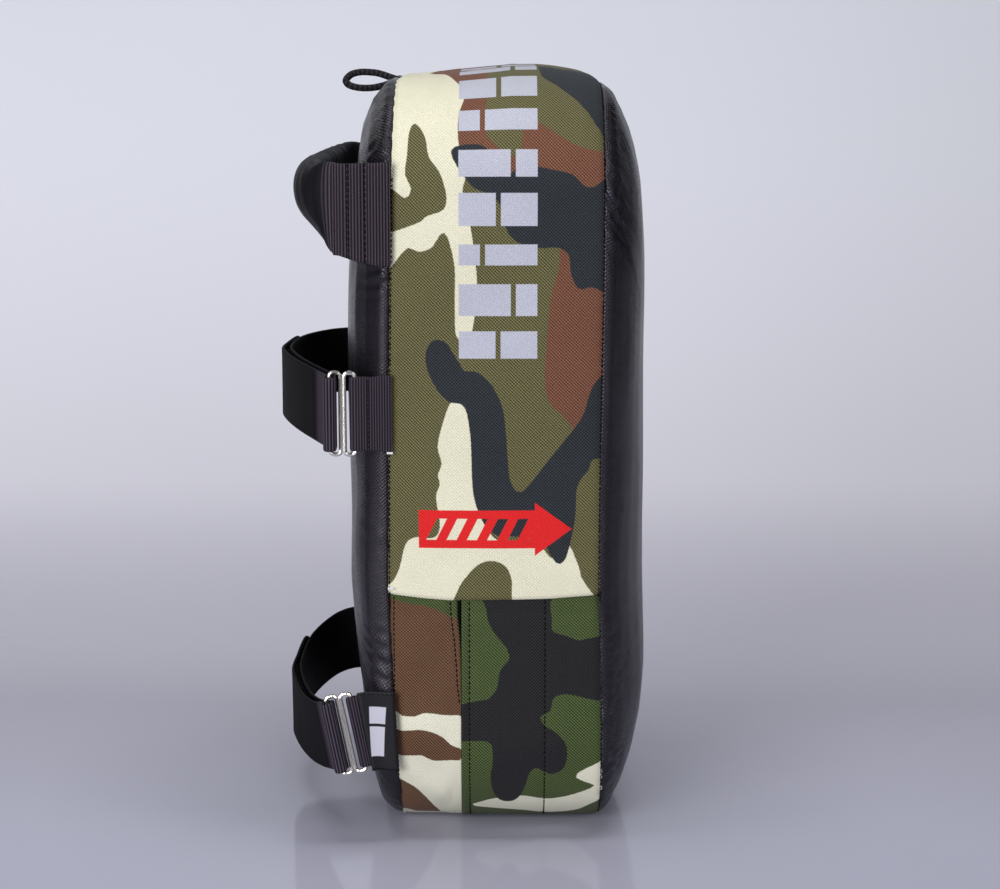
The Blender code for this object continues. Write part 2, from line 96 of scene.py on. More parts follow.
class Finish:
    """A material, built from its Principled shader."""

    def __init__(self, name, colour, roughness, metallic=0.0, **fixed):
        self.material = bpy.data.materials.new(name)
        self.material.use_nodes = True
        self.tree = self.material.node_tree
        self.shader = self.tree.nodes["Principled BSDF"]
        self.put("Base Color", colour)
        self.put("Roughness", roughness)
        self.put("Metallic", metallic)
        for socket, value in fixed.items():
            self.put(socket.replace("_", " "), value)

    def put(self, socket, value):
        self.feed(self.shader.inputs[socket], value)

    def feed(self, socket, value):
        if isinstance(value, bpy.types.NodeSocket):
            self.tree.links.new(value, socket)
        else:
            socket.default_value = value

    def node(self, kind, inputs, **settings):
        made = self.tree.nodes.new(kind)
        for name, value in settings.items():
            setattr(made, name, value)
        for key, value in inputs.items():
            self.feed(made.inputs[key], value)
        return made

    def math(self, operation, a, b=0.0, c=0.0, clamp=False):
        return self.node("ShaderNodeMath", {0: a, 1: b, 2: c}, operation=operation, use_clamp=clamp).outputs[0]

    def mul(self, a, b, clamp=False):
        return self.math("MULTIPLY", a, b, clamp=clamp)

    def add(self, a, b, clamp=False):
        return self.math("ADD", a, b, clamp=clamp)

    def sub(self, a, b, clamp=False):
        return self.math("SUBTRACT", a, b, clamp=clamp)

    def div(self, a, b):
        return self.math("DIVIDE", a, b)

    def mad(self, a, b, c, clamp=False):
        return self.math("MULTIPLY_ADD", a, b, c, clamp=clamp)

    def least(self, *values):
        return functools.reduce(lambda a, b: self.math("MINIMUM", a, b), values)

    def most(self, a, b):
        return self.math("MAXIMUM", a, b)

    def size(self, a):
        return self.math("ABSOLUTE", a)

    def sine(self, a):
        return self.math("SINE", a)

    def cosine(self, a):
        return self.math("COSINE", a)

    def mix(self, share, a, b):
        return self.node("ShaderNodeMix", {0: share, 6: a, 7: b}, data_type="RGBA").outputs[2]

    def chart(self):
        """The piece's own map, in metres: its two directions."""
        place = self.node("ShaderNodeUVMap", {}, uv_map="cloth").outputs[0]
        split = self.node("ShaderNodeSeparateXYZ", {0: place})
        return place, split.outputs[0], split.outputs[1]

    def layer(self, name):
        """A value that the mesh carries at its points."""
        return self.node("ShaderNodeAttribute", {}, attribute_name=name, attribute_type="GEOMETRY").outputs[2]

    def noise(self, place, scale, detail=2.0, rough=0.5):
        inputs = {"Vector": place, "Scale": scale, "Detail": detail, "Roughness": rough}
        return self.node("ShaderNodeTexNoise", inputs).outputs[0]

    def wave(self, value, pitch, shift=0.0):
        """A sine of this pitch in metres, from 0 to 1."""
        turn = self.mad(value, 2 * math.pi / pitch, shift)
        return self.mad(self.sine(turn), 0.5, 0.5)

    def checker(self, u, v, pitch):
        """Over and under of a plain weave, from 0 to 1."""
        a = self.sine(self.mul(u, math.pi / pitch))
        b = self.sine(self.mul(v, math.pi / pitch))
        return self.mad(self.mul(a, b), 0.5, 0.5)

    def weave(self, u, v, pitch):
        """A plain weave seen as slanting rows, from 0 to 1."""
        near = self.cosine(self.mul(self.add(u, v), math.pi / pitch))
        far = self.cosine(self.mul(self.sub(u, v), math.pi / pitch))
        return self.mad(near, 0.52, self.mad(far, -0.26, 0.5), clamp=True)

    def bump(self, height, distance, strength=1.0):
        made = self.node("ShaderNodeBump", {"Height": height, "Distance": distance, "Strength": strength})
        self.put("Normal", made.outputs[0])

    def scaled(self, colour, low, high, share):
        """The colour times a factor from low to high."""
        factor = self.mad(share, high - low, low)
        if isinstance(colour, tuple):
            colour = colour[:3]
        return self.node("ShaderNodeVectorMath", {0: colour, "Scale": factor}, operation="SCALE").outputs[0]


WEAVE = 0.00086
PRINT_GREY = srgb(188, 190, 204)
PRINT_RED = srgb(226, 34, 36)


def bars_mask(finish, u, v):
    """Plain printed bars up the strip, each cut by a stencil's bridge."""
    u_mm = finish.mul(u, 1000)
    v_mm = finish.mul(v, 1000)
    step = finish.sub(v_mm, BARS_FROM)
    place = finish.math("FRACT", finish.div(step, BAR_STEP))
    index = finish.math("FLOOR", finish.div(step, BAR_STEP))
    tall = finish.mad(finish.sine(finish.mul(index, 2.4)), 1.7, BAR_HEIGHT / 2)
    from_middle = finish.size(finish.mul(finish.sub(place, 0.5), BAR_STEP))
    in_row = finish.sub(tall, from_middle)
    in_width = finish.sub(BAR_HALF_WIDTH, finish.size(u_mm))
    bridge_at = finish.mul(finish.sine(finish.mul(index, 2.1)), 9.0)
    off_bridge = finish.sub(finish.size(finish.sub(u_mm, bridge_at)), 1.3)
    inside = finish.least(finish.least(in_row, in_width), off_bridge)
    from_start = finish.sub(v_mm, BARS_FROM)
    to_end = finish.sub(BARS_TO, v_mm)
    inside = finish.least(inside, finish.least(from_start, to_end))
    return finish.mad(inside, 3.0, 0.5, clamp=True)


BARS_FROM, BARS_TO, BAR_STEP, BAR_HEIGHT, BAR_HALF_WIDTH = 254.0, 507.0, 23.0, 14.0, 20.0
ARROW_HEIGHT, ARROW_TAIL, ARROW_NECK, ARROW_TIP = 169.5, -41.0, 19.0, 38.0


def arrow_mask(finish, u, v):
    """A plain printed arrow with slanted slots."""
    u_mm = finish.mul(u, 1000)
    up = finish.mad(v, 1000, -ARROW_HEIGHT)
    level = finish.size(up)
    body = finish.least(finish.sub(10.0, level), finish.sub(u_mm, ARROW_TAIL))
    body = finish.least(body, finish.sub(ARROW_NECK + 1, u_mm))
    slope = (ARROW_TIP - ARROW_NECK) / 14.0
    reach = finish.sub(finish.sub(ARROW_TIP, u_mm), finish.mul(level, slope))
    head = finish.least(finish.mul(reach, 0.6), finish.sub(u_mm, ARROW_NECK))
    whole = finish.most(body, head)
    slanted = finish.mad(up, -0.5, u_mm)
    turn = finish.math("FRACT", finish.div(finish.sub(slanted, ARROW_TAIL + 4), 10.5))
    slot = finish.mad(finish.size(finish.sub(turn, 0.5)), -10.5, 2.6)
    slot = finish.least(slot, finish.sub(5.6, level))
    ends = finish.least(finish.sub(u_mm, ARROW_TAIL + 4), finish.sub(16.0, u_mm))
    slot = finish.least(slot, ends)
    inside = finish.least(whole, finish.mul(slot, -1))
    return finish.mad(inside, 3.0, 0.5, clamp=True)


def camo_finish(name, ground, rust, cream, dark, spot, printed):
    """Printed camouflage on woven nylon: the patches' edges come from the mesh's own signed distances."""
    finish = Finish(name, ground, 0.72, Sheen_Weight=0.05, Sheen_Roughness=0.5, Specular_IOR_Level=0.2)
    place, u, v = finish.chart()
    bleed = finish.mad(finish.noise(place, 900), 0.7, -0.35)
    weave = finish.weave(u, v, WEAVE)
    threads = finish.mul(finish.wave(u, 0.0013), finish.wave(v, 0.0013))
    colour = finish.scaled(ground, 0.22, 1.66, weave)
    for layer, tint, low, high in (("rust", rust, 0.3, 1.6), ("cream", cream, 0.9, 1.05), ("dark", dark, 0.3, 1.6),
                                   ("spot", spot, 0.22, 1.66)):
        edge = finish.layer(layer)
        mask = finish.mad(finish.add(edge, bleed), 2.2, 0.5, clamp=True)
        colour = finish.mix(mask, colour, finish.scaled(tint, low, high, weave))
    if printed:
        colour = finish.mix(bars_mask(finish, u, v), colour, finish.scaled(PRINT_GREY, 0.97, 1.02, threads))
        colour = finish.mix(arrow_mask(finish, u, v), colour, finish.scaled(PRINT_RED, 0.96, 1.03, threads))
    cloud = finish.noise(place, 28, 3)
    finish.put("Base Color", finish.scaled(colour, 0.9, 1.1, cloud))
    finish.put("Roughness", finish.mad(finish.noise(place, 300), 0.2, 0.6))
    finish.bump(finish.add(weave, finish.mul(threads, 0.4)), 0.00035, 0.55)
    return finish.material


def leather_finish(name):
    """Black synthetic leather with a fine slanting emboss, glossier where it is stretched."""
    finish = Finish(name, srgb(15, 13, 18), 0.3, Specular_IOR_Level=0.5, Specular_Tint=(0.93, 0.86, 1.0, 1.0))
    place, u, v = finish.chart()
    heights = []
    for chart in ("cloth", "face"):  # round the rim, and over the flat of the face
        split = finish.node("ShaderNodeSeparateXYZ", {0: finish.node("ShaderNodeUVMap", {}, uv_map=chart).outputs[0]})
        a = finish.add(split.outputs[0], split.outputs[1])
        b = finish.sub(split.outputs[0], split.outputs[1])
        heights.append(finish.mul(finish.wave(a, 0.0019), finish.wave(b, 0.0019)))
    inward = finish.layer("inward")
    share = finish.mad(inward, 0.1, -2.5, clamp=True)
    rim_part = finish.mul(heights[0], finish.sub(1.0, share))
    emboss = finish.mad(heights[1], share, rim_part)
    grain = finish.noise(place, 1400, 3, 0.6)
    cloud = finish.noise(place, 18, 4)
    finish.put("Base Color", finish.mix(cloud, srgb(11, 9, 13), srgb(19, 17, 23)))
    finish.put("Roughness", finish.add(finish.mul(cloud, 0.16), finish.mad(grain, 0.08, 0.15)))
    finish.bump(finish.mad(grain, 0.15, emboss), 0.00042, 0.6)
    return finish.material


def webbing_finish(name, dark, light, rib, twist=0.0011):
    """A woven tape of twisted threads: its ribs' crests are painted light as a painted highlight, and the grooves
    between them dark as painted shade.
    """
    finish = Finish(name, dark, 0.65, Specular_IOR_Level=0.15)
    place, u, v = finish.chart()
    turn = finish.cosine(finish.mul(u, math.pi / rib))
    crest = finish.math("POWER", finish.size(turn), 2.5)
    skew = finish.mad(u, 0.6, v)
    threads = finish.mad(finish.wave(skew, twist), 0.65, 0.35)
    fuzz = finish.noise(place, 2500, 3, 0.6)
    share = finish.mul(crest, finish.mul(threads, finish.mad(fuzz, 0.8, 0.6)))
    # The base colour carries the painted highlight on the crests and the painted shade between them.
    finish.put("Base Color", finish.mix(share, dark, light))
    finish.put("Roughness", finish.mad(fuzz, 0.3, 0.45))
    finish.bump(finish.add(share, finish.mul(fuzz, 0.3)), 0.0004, 0.7)
    return finish.material


def tail_finish(name, ribs_to, ribs_fade, rib, dark=srgb(6, 5, 7), light=srgb(26, 23, 29),
                crest_painted_highlight=srgb(88, 80, 94)):
    """A tape that is ribbed as webbing at first, with a painted highlight on its ribs' crests, then plain black further
    on.
    """
    finish = Finish(name, srgb(10, 9, 12), 0.7, Specular_IOR_Level=0.08)
    place, u, v = finish.chart()
    past = finish.div(finish.sub(u, ribs_to), ribs_fade)
    near = finish.sub(1.0, past, clamp=True)
    crest = finish.math("POWER", finish.size(finish.cosine(finish.mul(u, math.pi / rib))), 2.5)
    fuzz = finish.noise(place, 2200, 3, 0.6)
    ribs = finish.mul(finish.mul(near, crest), finish.mad(fuzz, 0.8, 0.5))
    cloud = finish.noise(place, 60, 3)
    plain = finish.mix(finish.mul(fuzz, cloud), dark, light)
    # The ribbed part's crests get the painted highlight colour.
    finish.put("Base Color", finish.mix(ribs, plain, crest_painted_highlight))
    finish.put("Roughness", finish.mad(fuzz, 0.25, 0.55))
    finish.bump(finish.mad(fuzz, 0.3, ribs), 0.0003, 0.6)
    return finish.material


def plain_cloth_finish(name, colour, light, roughness, scale=1400, distance=0.00015):
    """Close brushed cloth, tape or foam: a fine grain and soft clouding."""
    finish = Finish(name, colour, roughness, Specular_IOR_Level=0.12)
    place, u, v = finish.chart()
    grain = finish.noise(place, scale, 4, 0.65)
    cloud = finish.noise(place, 40, 2)
    share = finish.mul(grain, cloud)
    finish.put("Base Color", finish.mix(share, colour, light))
    finish.put("Roughness", finish.mad(cloud, 0.2, roughness - 0.1))
    finish.bump(grain, distance, 0.8)
    return finish.material


def chrome_finish(name):
    finish = Finish(name, srgb(228, 226, 222), 0.12, 1.0)
    place = finish.node("ShaderNodeTexCoord", {}).outputs["Object"]
    worn = finish.noise(place, 350, 4)
    finish.put("Roughness", finish.mad(worn, 0.14, 0.16))
    finish.put("Base Color", finish.mix(worn, srgb(250, 247, 240), srgb(226, 222, 214)))
    finish.bump(worn, 0.00004, 0.4)
    return finish.material


def label_finish(name):
    """Black satin label with a plain pale print: two slanted bars."""
    finish = Finish(name, srgb(24, 22, 28), 0.5, Specular_IOR_Level=0.3)
    place, u, v = finish.chart()
    u_mm = finish.mul(u, 1000)
    v_mm = finish.mul(v, 1000)
    lean = finish.mad(v_mm, 0.12, u_mm)
    across = finish.sub(3.9, finish.size(finish.sub(lean, 10.2)))
    along = finish.sub(13.5, finish.size(v_mm))
    off_gap = finish.sub(finish.size(finish.sub(v_mm, 3.5)), 0.8)
    inside = finish.least(finish.least(across, along), off_gap)
    mask = finish.mad(inside, 3.0, 0.5, clamp=True)
    grain = finish.noise(place, 1500, 3)
    colour = finish.mix(mask, srgb(19, 17, 23), srgb(196, 195, 208))
    finish.put("Base Color", finish.scaled(colour, 0.9, 1.1, grain))
    finish.put("Roughness", finish.mad(grain, 0.2, 0.35))
    finish.bump(finish.checker(u, v, 0.0006), 0.0001, 0.5)
    return finish.material


# ---------------------------------------------------------------- shapes in numbers


def fade(value, low, high):
    t = np.clip((np.asarray(value, float) - low) / (high - low), 0, 1)
    return t * t * (3 - 2 * t)


def table(points, value):
    xs, ys = zip(*points)
    return np.interp(value, xs, ys)


def rim(around):
    """The outline there, and which way it faces: Y, Z and the normal's Y, Z."""
    t = np.mod(around - START, AROUND)
    far = t > AROUND / 2
    t = np.where(far, AROUND - t, t)
    up = t - FLAT - BEND
    turned = np.clip((t - FLAT) / CORNER, 0, math.pi / 2) + np.clip((up - SIDE) / CORNER, 0, math.pi / 2)
    centre_y = np.clip(up - SIDE - BEND, 0, FLAT) - np.minimum(t, FLAT)
    centre_z = CORNER + np.clip(up, 0, SIDE)
    ny, nz = -np.sin(turned), -np.cos(turned)
    side = np.where(far, -1.0, 1.0)
    return side * (centre_y + CORNER * ny), centre_z + CORNER * nz, side * ny, nz


def dome(share, nz):
    """How far the cloth stands out from the outline, by the share across and which way the outline faces."""
    side = table(SIDE_DOME, share)
    return side + (table(TOP_DOME, share) - side) * fade(nz, 0, 1) - side * fade(-nz, 0, 1)


def home(around):
    """The same place on the near half, for what repeats on the far half."""
    t = np.mod(around - START, AROUND)
    return START + np.where(t > AROUND / 2, AROUND - t, t)


def strip_point(x_share, around, out=0.0):
    """A point of the domed cloth strip: x_share runs from -1 at the back seam to 1 at the strike seam."""
    y, z, ny, nz = rim(around)
    lift = dome(x_share, nz) + out
    back, strike = table(BACK_SEAM, z), table(STRIKE_SEAM, z)
    x = back + (strike - back) * (x_share + 1) / 2
    return np.stack(np.broadcast_arrays(x, y + ny * lift, z + nz * lift), -1)


def share_of_x(x, around):
    z = rim(around)[1]
    back, strike = table(BACK_SEAM, z), table(STRIKE_SEAM, z)
    return np.clip((x - back) / (strike - back) * 2 - 1, -1, 1)


def dish_point(side, share, around):
    """A point of a leather panel, this share of the way from the seam to the middle line."""
    y, z, ny, nz = rim(around)
    low = dome(side, nz)
    y, z = y + ny * low, z + nz * low
    edge = STRIKE_SEAM if side > 0 else BACK_SEAM
    spine = np.clip(z, *SPINE)
    seam = table(edge, z) + (table(edge, spine) - table(edge, z)) * fade(share, 0.3, 0.95)
    y, z = y * (1 - share), z + (spine - z) * share
    tops, lows = (STRIKE_TOP, STRIKE_LOW) if side > 0 else (BACK_TOP, BACK_LOW)
    high = fade(z, *SPINE)
    # The crown levels off over the middle instead of meeting in a ridge.
    reached = np.where(share > 1 - CROWN, 1 - CROWN / 2 * (1 + (np.maximum(1 - share, 0) / CROWN) ** 2), share)
    rise = table(tops, reached) * high + table(lows, reached) * (1 - high)
    return np.stack(np.broadcast_arrays(seam + side * rise, y, z), -1)


class Ripples:
    """Seeded folds round the outline: a few waves of random phase, drawn out into ridges."""

    def __init__(self, seed, longest, shortest, count=7):
        random = np.random.default_rng(RNG_SEED + seed)
        first, last = AROUND / longest, AROUND / shortest
        self.turns = np.round(random.uniform(first, last, count))
        self.phase = random.uniform(0, 2 * math.pi, count)
        self.size = random.uniform(0.5, 1.0, count)
        self.drift = random.uniform(-0.6, 0.6, count)

    def at(self, around, inward=0.0):
        total = 0.0
        for turns, phase, size, drift in zip(self.turns, self.phase, self.size, self.drift):
            total = total + size * np.cos(2 * math.pi * turns * (around + drift * inward) / AROUND + phase)
        return total / self.size.sum() * 2


def facing(points, ring, middle=(0, 0, 200)):
    """Unit normals of a grid of points, away from the middle."""
    if ring:
        along = np.roll(points, -1, 1) - np.roll(points, 1, 1)
    else:
        along = np.gradient(points, axis=1)
    normal = np.cross(along, np.gradient(points, axis=0))
    normal /= np.maximum(np.linalg.norm(normal, axis=-1, keepdims=True), 1e-9)
    outward = (normal * (points - np.array(middle))).sum()
    return normal if outward > 0 else -normal


# ---------------------------------------------------------------- meshes


def new_mesh(name, points, faces, chart=None, layers=None, smooth=True):
    """A mesh object from points in millimetres; chart gives each face corner its place on the cloth."""
    mesh = bpy.data.meshes.new(name)
    mesh.from_pydata((np.asarray(points) * MM).tolist(), [], faces)
    if chart is not None:
        by_corner = isinstance(chart, list)
        flat = np.array(chart) if by_corner else np.concatenate([np.asarray(chart)[list(face)] for face in faces])
        mesh.uv_layers.new(name="cloth").data.foreach_set("uv", (flat * MM).astype(np.float32).ravel())
    for layer, values in (layers or {}).items():
        mesh.attributes.new(layer, "FLOAT", "POINT").data.foreach_set("value", np.asarray(values, np.float32).ravel())
    if smooth:
        mesh.polygons.foreach_set("use_smooth", np.ones(len(mesh.polygons), bool))
    item = bpy.data.objects.new(name, mesh)
    bpy.context.scene.collection.objects.link(item)
    return item


def grid_faces(rows, columns, ring=True):
    """Four-sided faces over a grid of points, row by row."""
    r, c = np.meshgrid(np.arange(rows - 1), np.arange(columns if ring else columns - 1), indexing="ij")
    after = (c + 1) % columns
    low, high = r * columns, (r + 1) * columns
    return r, c, np.stack([low + c, low + after, high + after, high + c], -1)


def cap_faces(last, columns):
    """Faces that close a ring across its middle line; last is the ring's first point."""
    half = columns // 2
    cap = [[last + j, last + j + 1, last + columns - j - 1, last + columns - j] for j in range(1, half - 1)]
    return cap + [[last, last + 1, last + columns - 1], [last + half - 1, last + half, last + half + 1]]


def outward_normals(mesh):
    shape = bmesh.new()
    shape.from_mesh(mesh)
    bmesh.ops.recalc_face_normals(shape, faces=shape.faces)
    shape.to_mesh(mesh)
    shape.free()


def grid_object(name, points, chart, ring=False, closed_inside=False, layers=None, middle=(0, 0, 200)):
    """A sheet through a grid of points, rows by columns. A ring joins its last column to its first."""
    rows, columns = points.shape[:2]
    r, c, corners = grid_faces(rows, columns, ring)
    wide = np.concatenate([chart, chart[:, :1] + (chart[:, 1:2] - chart[:, :1]) * columns], 1) if ring else chart
    places = np.stack([wide[r, c], wide[r, c + 1], wide[r + 1, c + 1], wide[r + 1, c]], 2)
    corners, places = corners.reshape(-1, 4), places.reshape(-1, 4, 2)
    flat = points.reshape(-1, 3)
    a, b, d = flat[corners[:, 0]], flat[corners[:, 1]], flat[corners[:, 3]]
    turned = (np.cross(b - a, d - a) * (a - np.array(middle))).sum() < 0
    if turned:
        corners, places = corners[:, ::-1], places[:, ::-1]
    faces = corners.tolist()
    uvs = places.reshape(-1, 2)
    if closed_inside:
        last = (rows - 1) * columns
        cap = [face[::-1] if turned else face for face in cap_faces(last, columns)]
        cap_uv = np.concatenate([wide[rows - 1, np.array(face) - last] for face in cap])
        faces += cap
        uvs = np.concatenate([uvs, cap_uv])
    return new_mesh(name, flat, faces, chart=list(uvs), layers=layers)


def tube_object(name, points, chart):
    """A closed tube through rings of points, with its two ends capped."""
    rows, columns = points.shape[:2]
    faces = grid_faces(rows, columns)[2].reshape(-1, 4).tolist()
    faces += [list(range(columns))[::-1], list(range((rows - 1) * columns, rows * columns))]
    item = new_mesh(name, points.reshape(-1, 3), faces, chart=chart.reshape(-1, 2))
    outward_normals(item.data)
    return item


def solid(item, thickness, offset=-1.0):
    step = item.modifiers.new("thickness", "SOLIDIFY")
    step.thickness = thickness * MM
    step.offset = offset
    step.use_rim = True
    return item


def finished(item, material, body, slot, *replaced, bend=None):
    """Gives the piece its material and body; bend names a second body, and where the piece bends over to it, but such a
    piece is only fixed in place and joins no body.
    """
    item.data.materials.clear()
    item.data.materials.append(material)
    if bend:
        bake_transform(item)
    else:
        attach(item, body)
    if replaced:
        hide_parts(*replaced)
    return item


def spline(points, steps=6, closed=False):
    """A Catmull-Rom line through the points."""
    p = np.array(points, float)
    if closed:
        p = np.concatenate([p[-1:], p, p[:2]])
    else:
        p = np.concatenate([2 * p[:1] - p[1:2], p, 2 * p[-1:] - p[-2:-1]])
    t = (np.arange(steps) / steps)[:, None]
    line = []
    for a, b, c, d in zip(p, p[1:], p[2:], p[3:]):
        line.append((2 * b + (c - a) * t + (2 * a - 5 * b + 4 * c - d) * t**2 + (3 * b - a - 3 * c + d) * t**3) / 2)
    if not closed:
        line.append(p[-2:-1])
    return np.concatenate(line)


def respaced(line, step):
    """The line with even spacing."""
    line = np.asarray(line, float)
    run = np.concatenate([[0], np.cumsum(np.linalg.norm(np.diff(line, axis=0), axis=1))])
    count = max(2, int(round(run[-1] / step)) + 1)
    even = np.linspace(0, run[-1], count)
    return np.stack([np.interp(even, run, line[:, k]) for k in range(line.shape[1])], 1), even


def arc(centre, radius, start, end, steps):
    turn = np.radians(np.linspace(start, end, steps + 1))
    return np.stack([centre[0] + radius * np.cos(turn), centre[1] + radius * np.sin(turn)], 1)


def beside(line, distance):
    """The line moved sideways, to the left of its direction."""
    line = np.asarray(line, float)
    along = np.gradient(line, axis=0)
    along /= np.linalg.norm(along, axis=1, keepdims=True)
    return line + np.stack([-along[:, 1], along[:, 0]], 1) * distance


def stitches(name, rows, normals, radius=0.33, length=2.3, pitch=PITCH, lift=0.12):
    """Thread stitches laid end to end along rows of points, each a small rounded capsule pressed into the cloth."""
    rings, sides = (-1.0, -0.82, 0.0, 0.82, 1.0), 6
    girth = (0.35, 0.85, 1.0, 0.85, 0.35)
    turn = 2 * np.pi * np.arange(sides) / sides
    points, faces = [], []
    for row, normal in zip(rows, normals):
        path, run = respaced(np.concatenate([row, normal], 1), pitch)
        place, up = path[:, :3], path[:, 3:]
        along = np.gradient(place, axis=0)
        along /= np.linalg.norm(along, axis=1, keepdims=True)
        up /= np.linalg.norm(up, axis=1, keepdims=True)
        over = np.cross(along, up)
        over /= np.linalg.norm(over, axis=1, keepdims=True)
        for p, a, n, o in zip(place, along, up, over):
            base = len(points)
            for at, girth_here in zip(rings, girth):
                sink = (1 - at * at) * lift - 0.1
                middle = p + a * at * length / 2 + n * sink
                points.extend(middle + (o * np.cos(w) + n * np.sin(w)) * radius * girth_here for w in turn)
            for i in range(len(rings) - 1):
                for j in range(sides):
                    k = (j + 1) % sides
                    low, high = base + i * sides, base + (i + 1) * sides
                    faces.append([low + j, low + k, high + k, high + j])
            faces.append([base + j for j in reversed(range(sides))])
            faces.append([base + (len(rings) - 1) * sides + j for j in range(sides)])
    points = np.array(points)
    chart = points[:, [1, 2]]
    return new_mesh(name, points, faces, chart=chart)


def signed_inside(x, v, outline):
    """How far inside a smoothed outline each place lies, in millimetres; negative is outside."""
    ring = spline(outline, 4, closed=True)
    x, v = np.ravel(x), np.ravel(v)
    nearest = np.full(x.shape, 1e9)
    inside = np.zeros(x.shape, bool)
    for (ax, av), (bx, bv) in zip(ring, np.roll(ring, -1, 0)):
        dx, dv = bx - ax, bv - av
        t = np.clip(((x - ax) * dx + (v - av) * dv) / max(dx * dx + dv * dv, 1e-9), 0, 1)
        nearest = np.minimum(nearest, np.hypot(x - ax - t * dx, v - av - t * dv))
        crosses = (av > v) != (bv > v)
        inside ^= crosses & (x < ax + (v - av) * dx / (dv if dv else 1e-9))
    return np.where(inside, nearest, -nearest)


# Camouflage patches as X and distance round, in millimetres. Each kind lies over the ones before it.
UPPER_PATCHES = {
    "rust": (
        ((-36, 480), (-7, 480), (-6, 401), (-6, 375), (-3, 368), (7, 361), (12, 366), (13, 376), (18, 379),
         (24, 376), (37, 368), (46, 365), (62, 362), (62, 342), (49, 341), (20, 345), (0, 348), (-22, 356),
         (-26, 376), (-34, 420)),
        ((34, 320), (31, 305), (27, 290), (25, 270), (24, 250), (26, 236), (33, 229), (39, 222), (46, 214),
         (62, 214), (62, 320)),
    ),
    "cream": (
        ((-62, 315), (-62, 482), (-40, 482), (-31, 440), (-23, 415), (-17, 399), (-20, 384), (-20, 368),
         (-16, 353), (-18, 343), (-14, 326), (-11, 303), (-11, 290), (-14, 270), (-21, 269), (-22, 286),
         (-22, 305), (-25, 319), (-28, 323), (-31, 319), (-34, 315), (-40, 313), (-46, 315)),
        ((-14, 436), (-4, 437), (-2, 446), (-9, 453), (-16, 447)),
        ((-24, 236), (-19, 236), (-14, 226), (-12, 210), (-10, 180), (-2, 165), (8, 163), (22, 160), (28, 154),
         (36, 161), (40, 154), (43, 144), (44, 124), (-62, 124), (-62, 136), (-55, 141), (-51, 149), (-48, 161),
         (-43, 165), (-33, 165), (-30, 172), (-32, 186), (-30, 193), (-31, 198), (-29, 204), (-31, 213), (-28, 226)),
    ),
    "dark": (
        ((-24, 364), (-10, 367), (-3, 362), (-1, 357), (6, 352), (13, 359), (19, 356), (34, 353), (39, 351),
         (44, 346), (49, 346), (62, 350), (62, 294), (48, 295), (41, 294), (37, 302), (36, 311), (31, 315),
         (20, 315), (8, 319), (3, 328), (1, 337), (-4, 342), (-14, 347)),
        ((22, 440), (22, 414), (30, 404), (39, 395), (46, 386), (51, 378), (62, 369), (62, 482), (49, 482),
         (44, 456), (38, 436), (31, 428)),
        ((-30, 268), (-26, 266), (-21, 258), (-17, 252), (-12, 252), (-6, 248), (-1, 241), (3, 230), (5, 206),
         (6, 196), (9, 190), (12, 189), (17, 194), (27, 207), (39, 222), (44, 230), (47, 240), (51, 247), (62, 252),
         (62, 209), (49, 206), (47, 201), (41, 192), (40, 177), (38, 165), (35, 154), (31, 151), (27, 156),
         (22, 164), (7, 166), (-2, 167), (-9, 176), (-13, 190), (-14, 215), (-16, 230), (-19, 235), (-25, 236),
         (-31, 242), (-36, 252), (-37, 261), (-34, 267)),
    ),
    "spot": (
        ((-42, 380), (-37, 372), (-35, 361), (-30, 354), (-27, 346), (-26, 339), (-28, 334), (-36, 331),
         (-42, 327), (-62, 323), (-62, 347), (-54, 345), (-47, 340), (-44, 345), (-47, 352), (-46, 362), (-45, 375)),
        ((-24, 122), (-21, 137), (-16, 145), (-10, 151), (-3, 153), (4, 150), (7, 143), (7, 136), (5, 122)),
    ),
}
REAR_PATCHES = {
    "rust": (((-75, 129), (-46, 129), (-33, 127), (-25, 123), (-12, 115), (-5, 60), (-75, 60)),),
    "cream": (((-80, 69), (-50, 69), (-44, 69), (-38, 71), (-28, 70), (-20, 70), (-5, 70), (-5, -85), (-80, -85)),),
    "dark": (),
    "spot": (
        ((-80, 61), (-50, 61), (-42, 62), (-35, 61), (-29, 58), (-25, 54), (-20, 52), (-12, 50), (-12, 46), (-20, 45),
         (-25, 45), (-34, 44), (-40, 47), (-46, 47), (-80, 47)),
        ((-70, 33), (-56, 31), (-47, 28), (-42, 23), (-36, 12), (-31, -4), (-40, -1), (-70, 4)),
    ),
}
FRONT_PATCHES = {
    "rust": (),
    "cream": (
        ((-14, 8), (-7, 14), (0, 17), (13, 19), (25, 16), (35, 18), (44, 22), (51, 27), (46, 30), (41, 34),
         (46, 39), (58, 44), (75, 48), (75, 20), (58, 16), (48, 8), (42, 1), (27, -4), (14, 1), (0, 4)),
    ),
    "dark": (
        ((-7, 140), (-6, 126), (-5, 120), (-1, 113), (4, 107), (6, 101), (4, 98), (1, 94), (0, 88), (-1, 84),
         (-5, 79), (-10, 78), (-20, 76), (-30, 75), (-30, 57), (-20, 56), (-13, 56), (-8, 56), (-4, 55), (-3, 51),
         (-3, 42), (-4, 35), (-3, 25), (0, 16), (5, 13), (10, 16), (14, 26), (16, 35), (18, 39), (21, 40), (25, 37),
         (29, 36), (34, 39), (36, 45), (36, 53), (32, 59), (28, 62), (24, 65), (22, 69), (27, 72), (28, 75),
         (29, 79), (33, 81), (38, 81), (45, 79), (58, 76), (75, 74), (75, 112), (58, 112), (47, 111), (42, 110),
         (37, 112), (31, 114), (28, 116), (28, 122), (27, 128), (26, 140)),
    ),
    "spot": (),
}


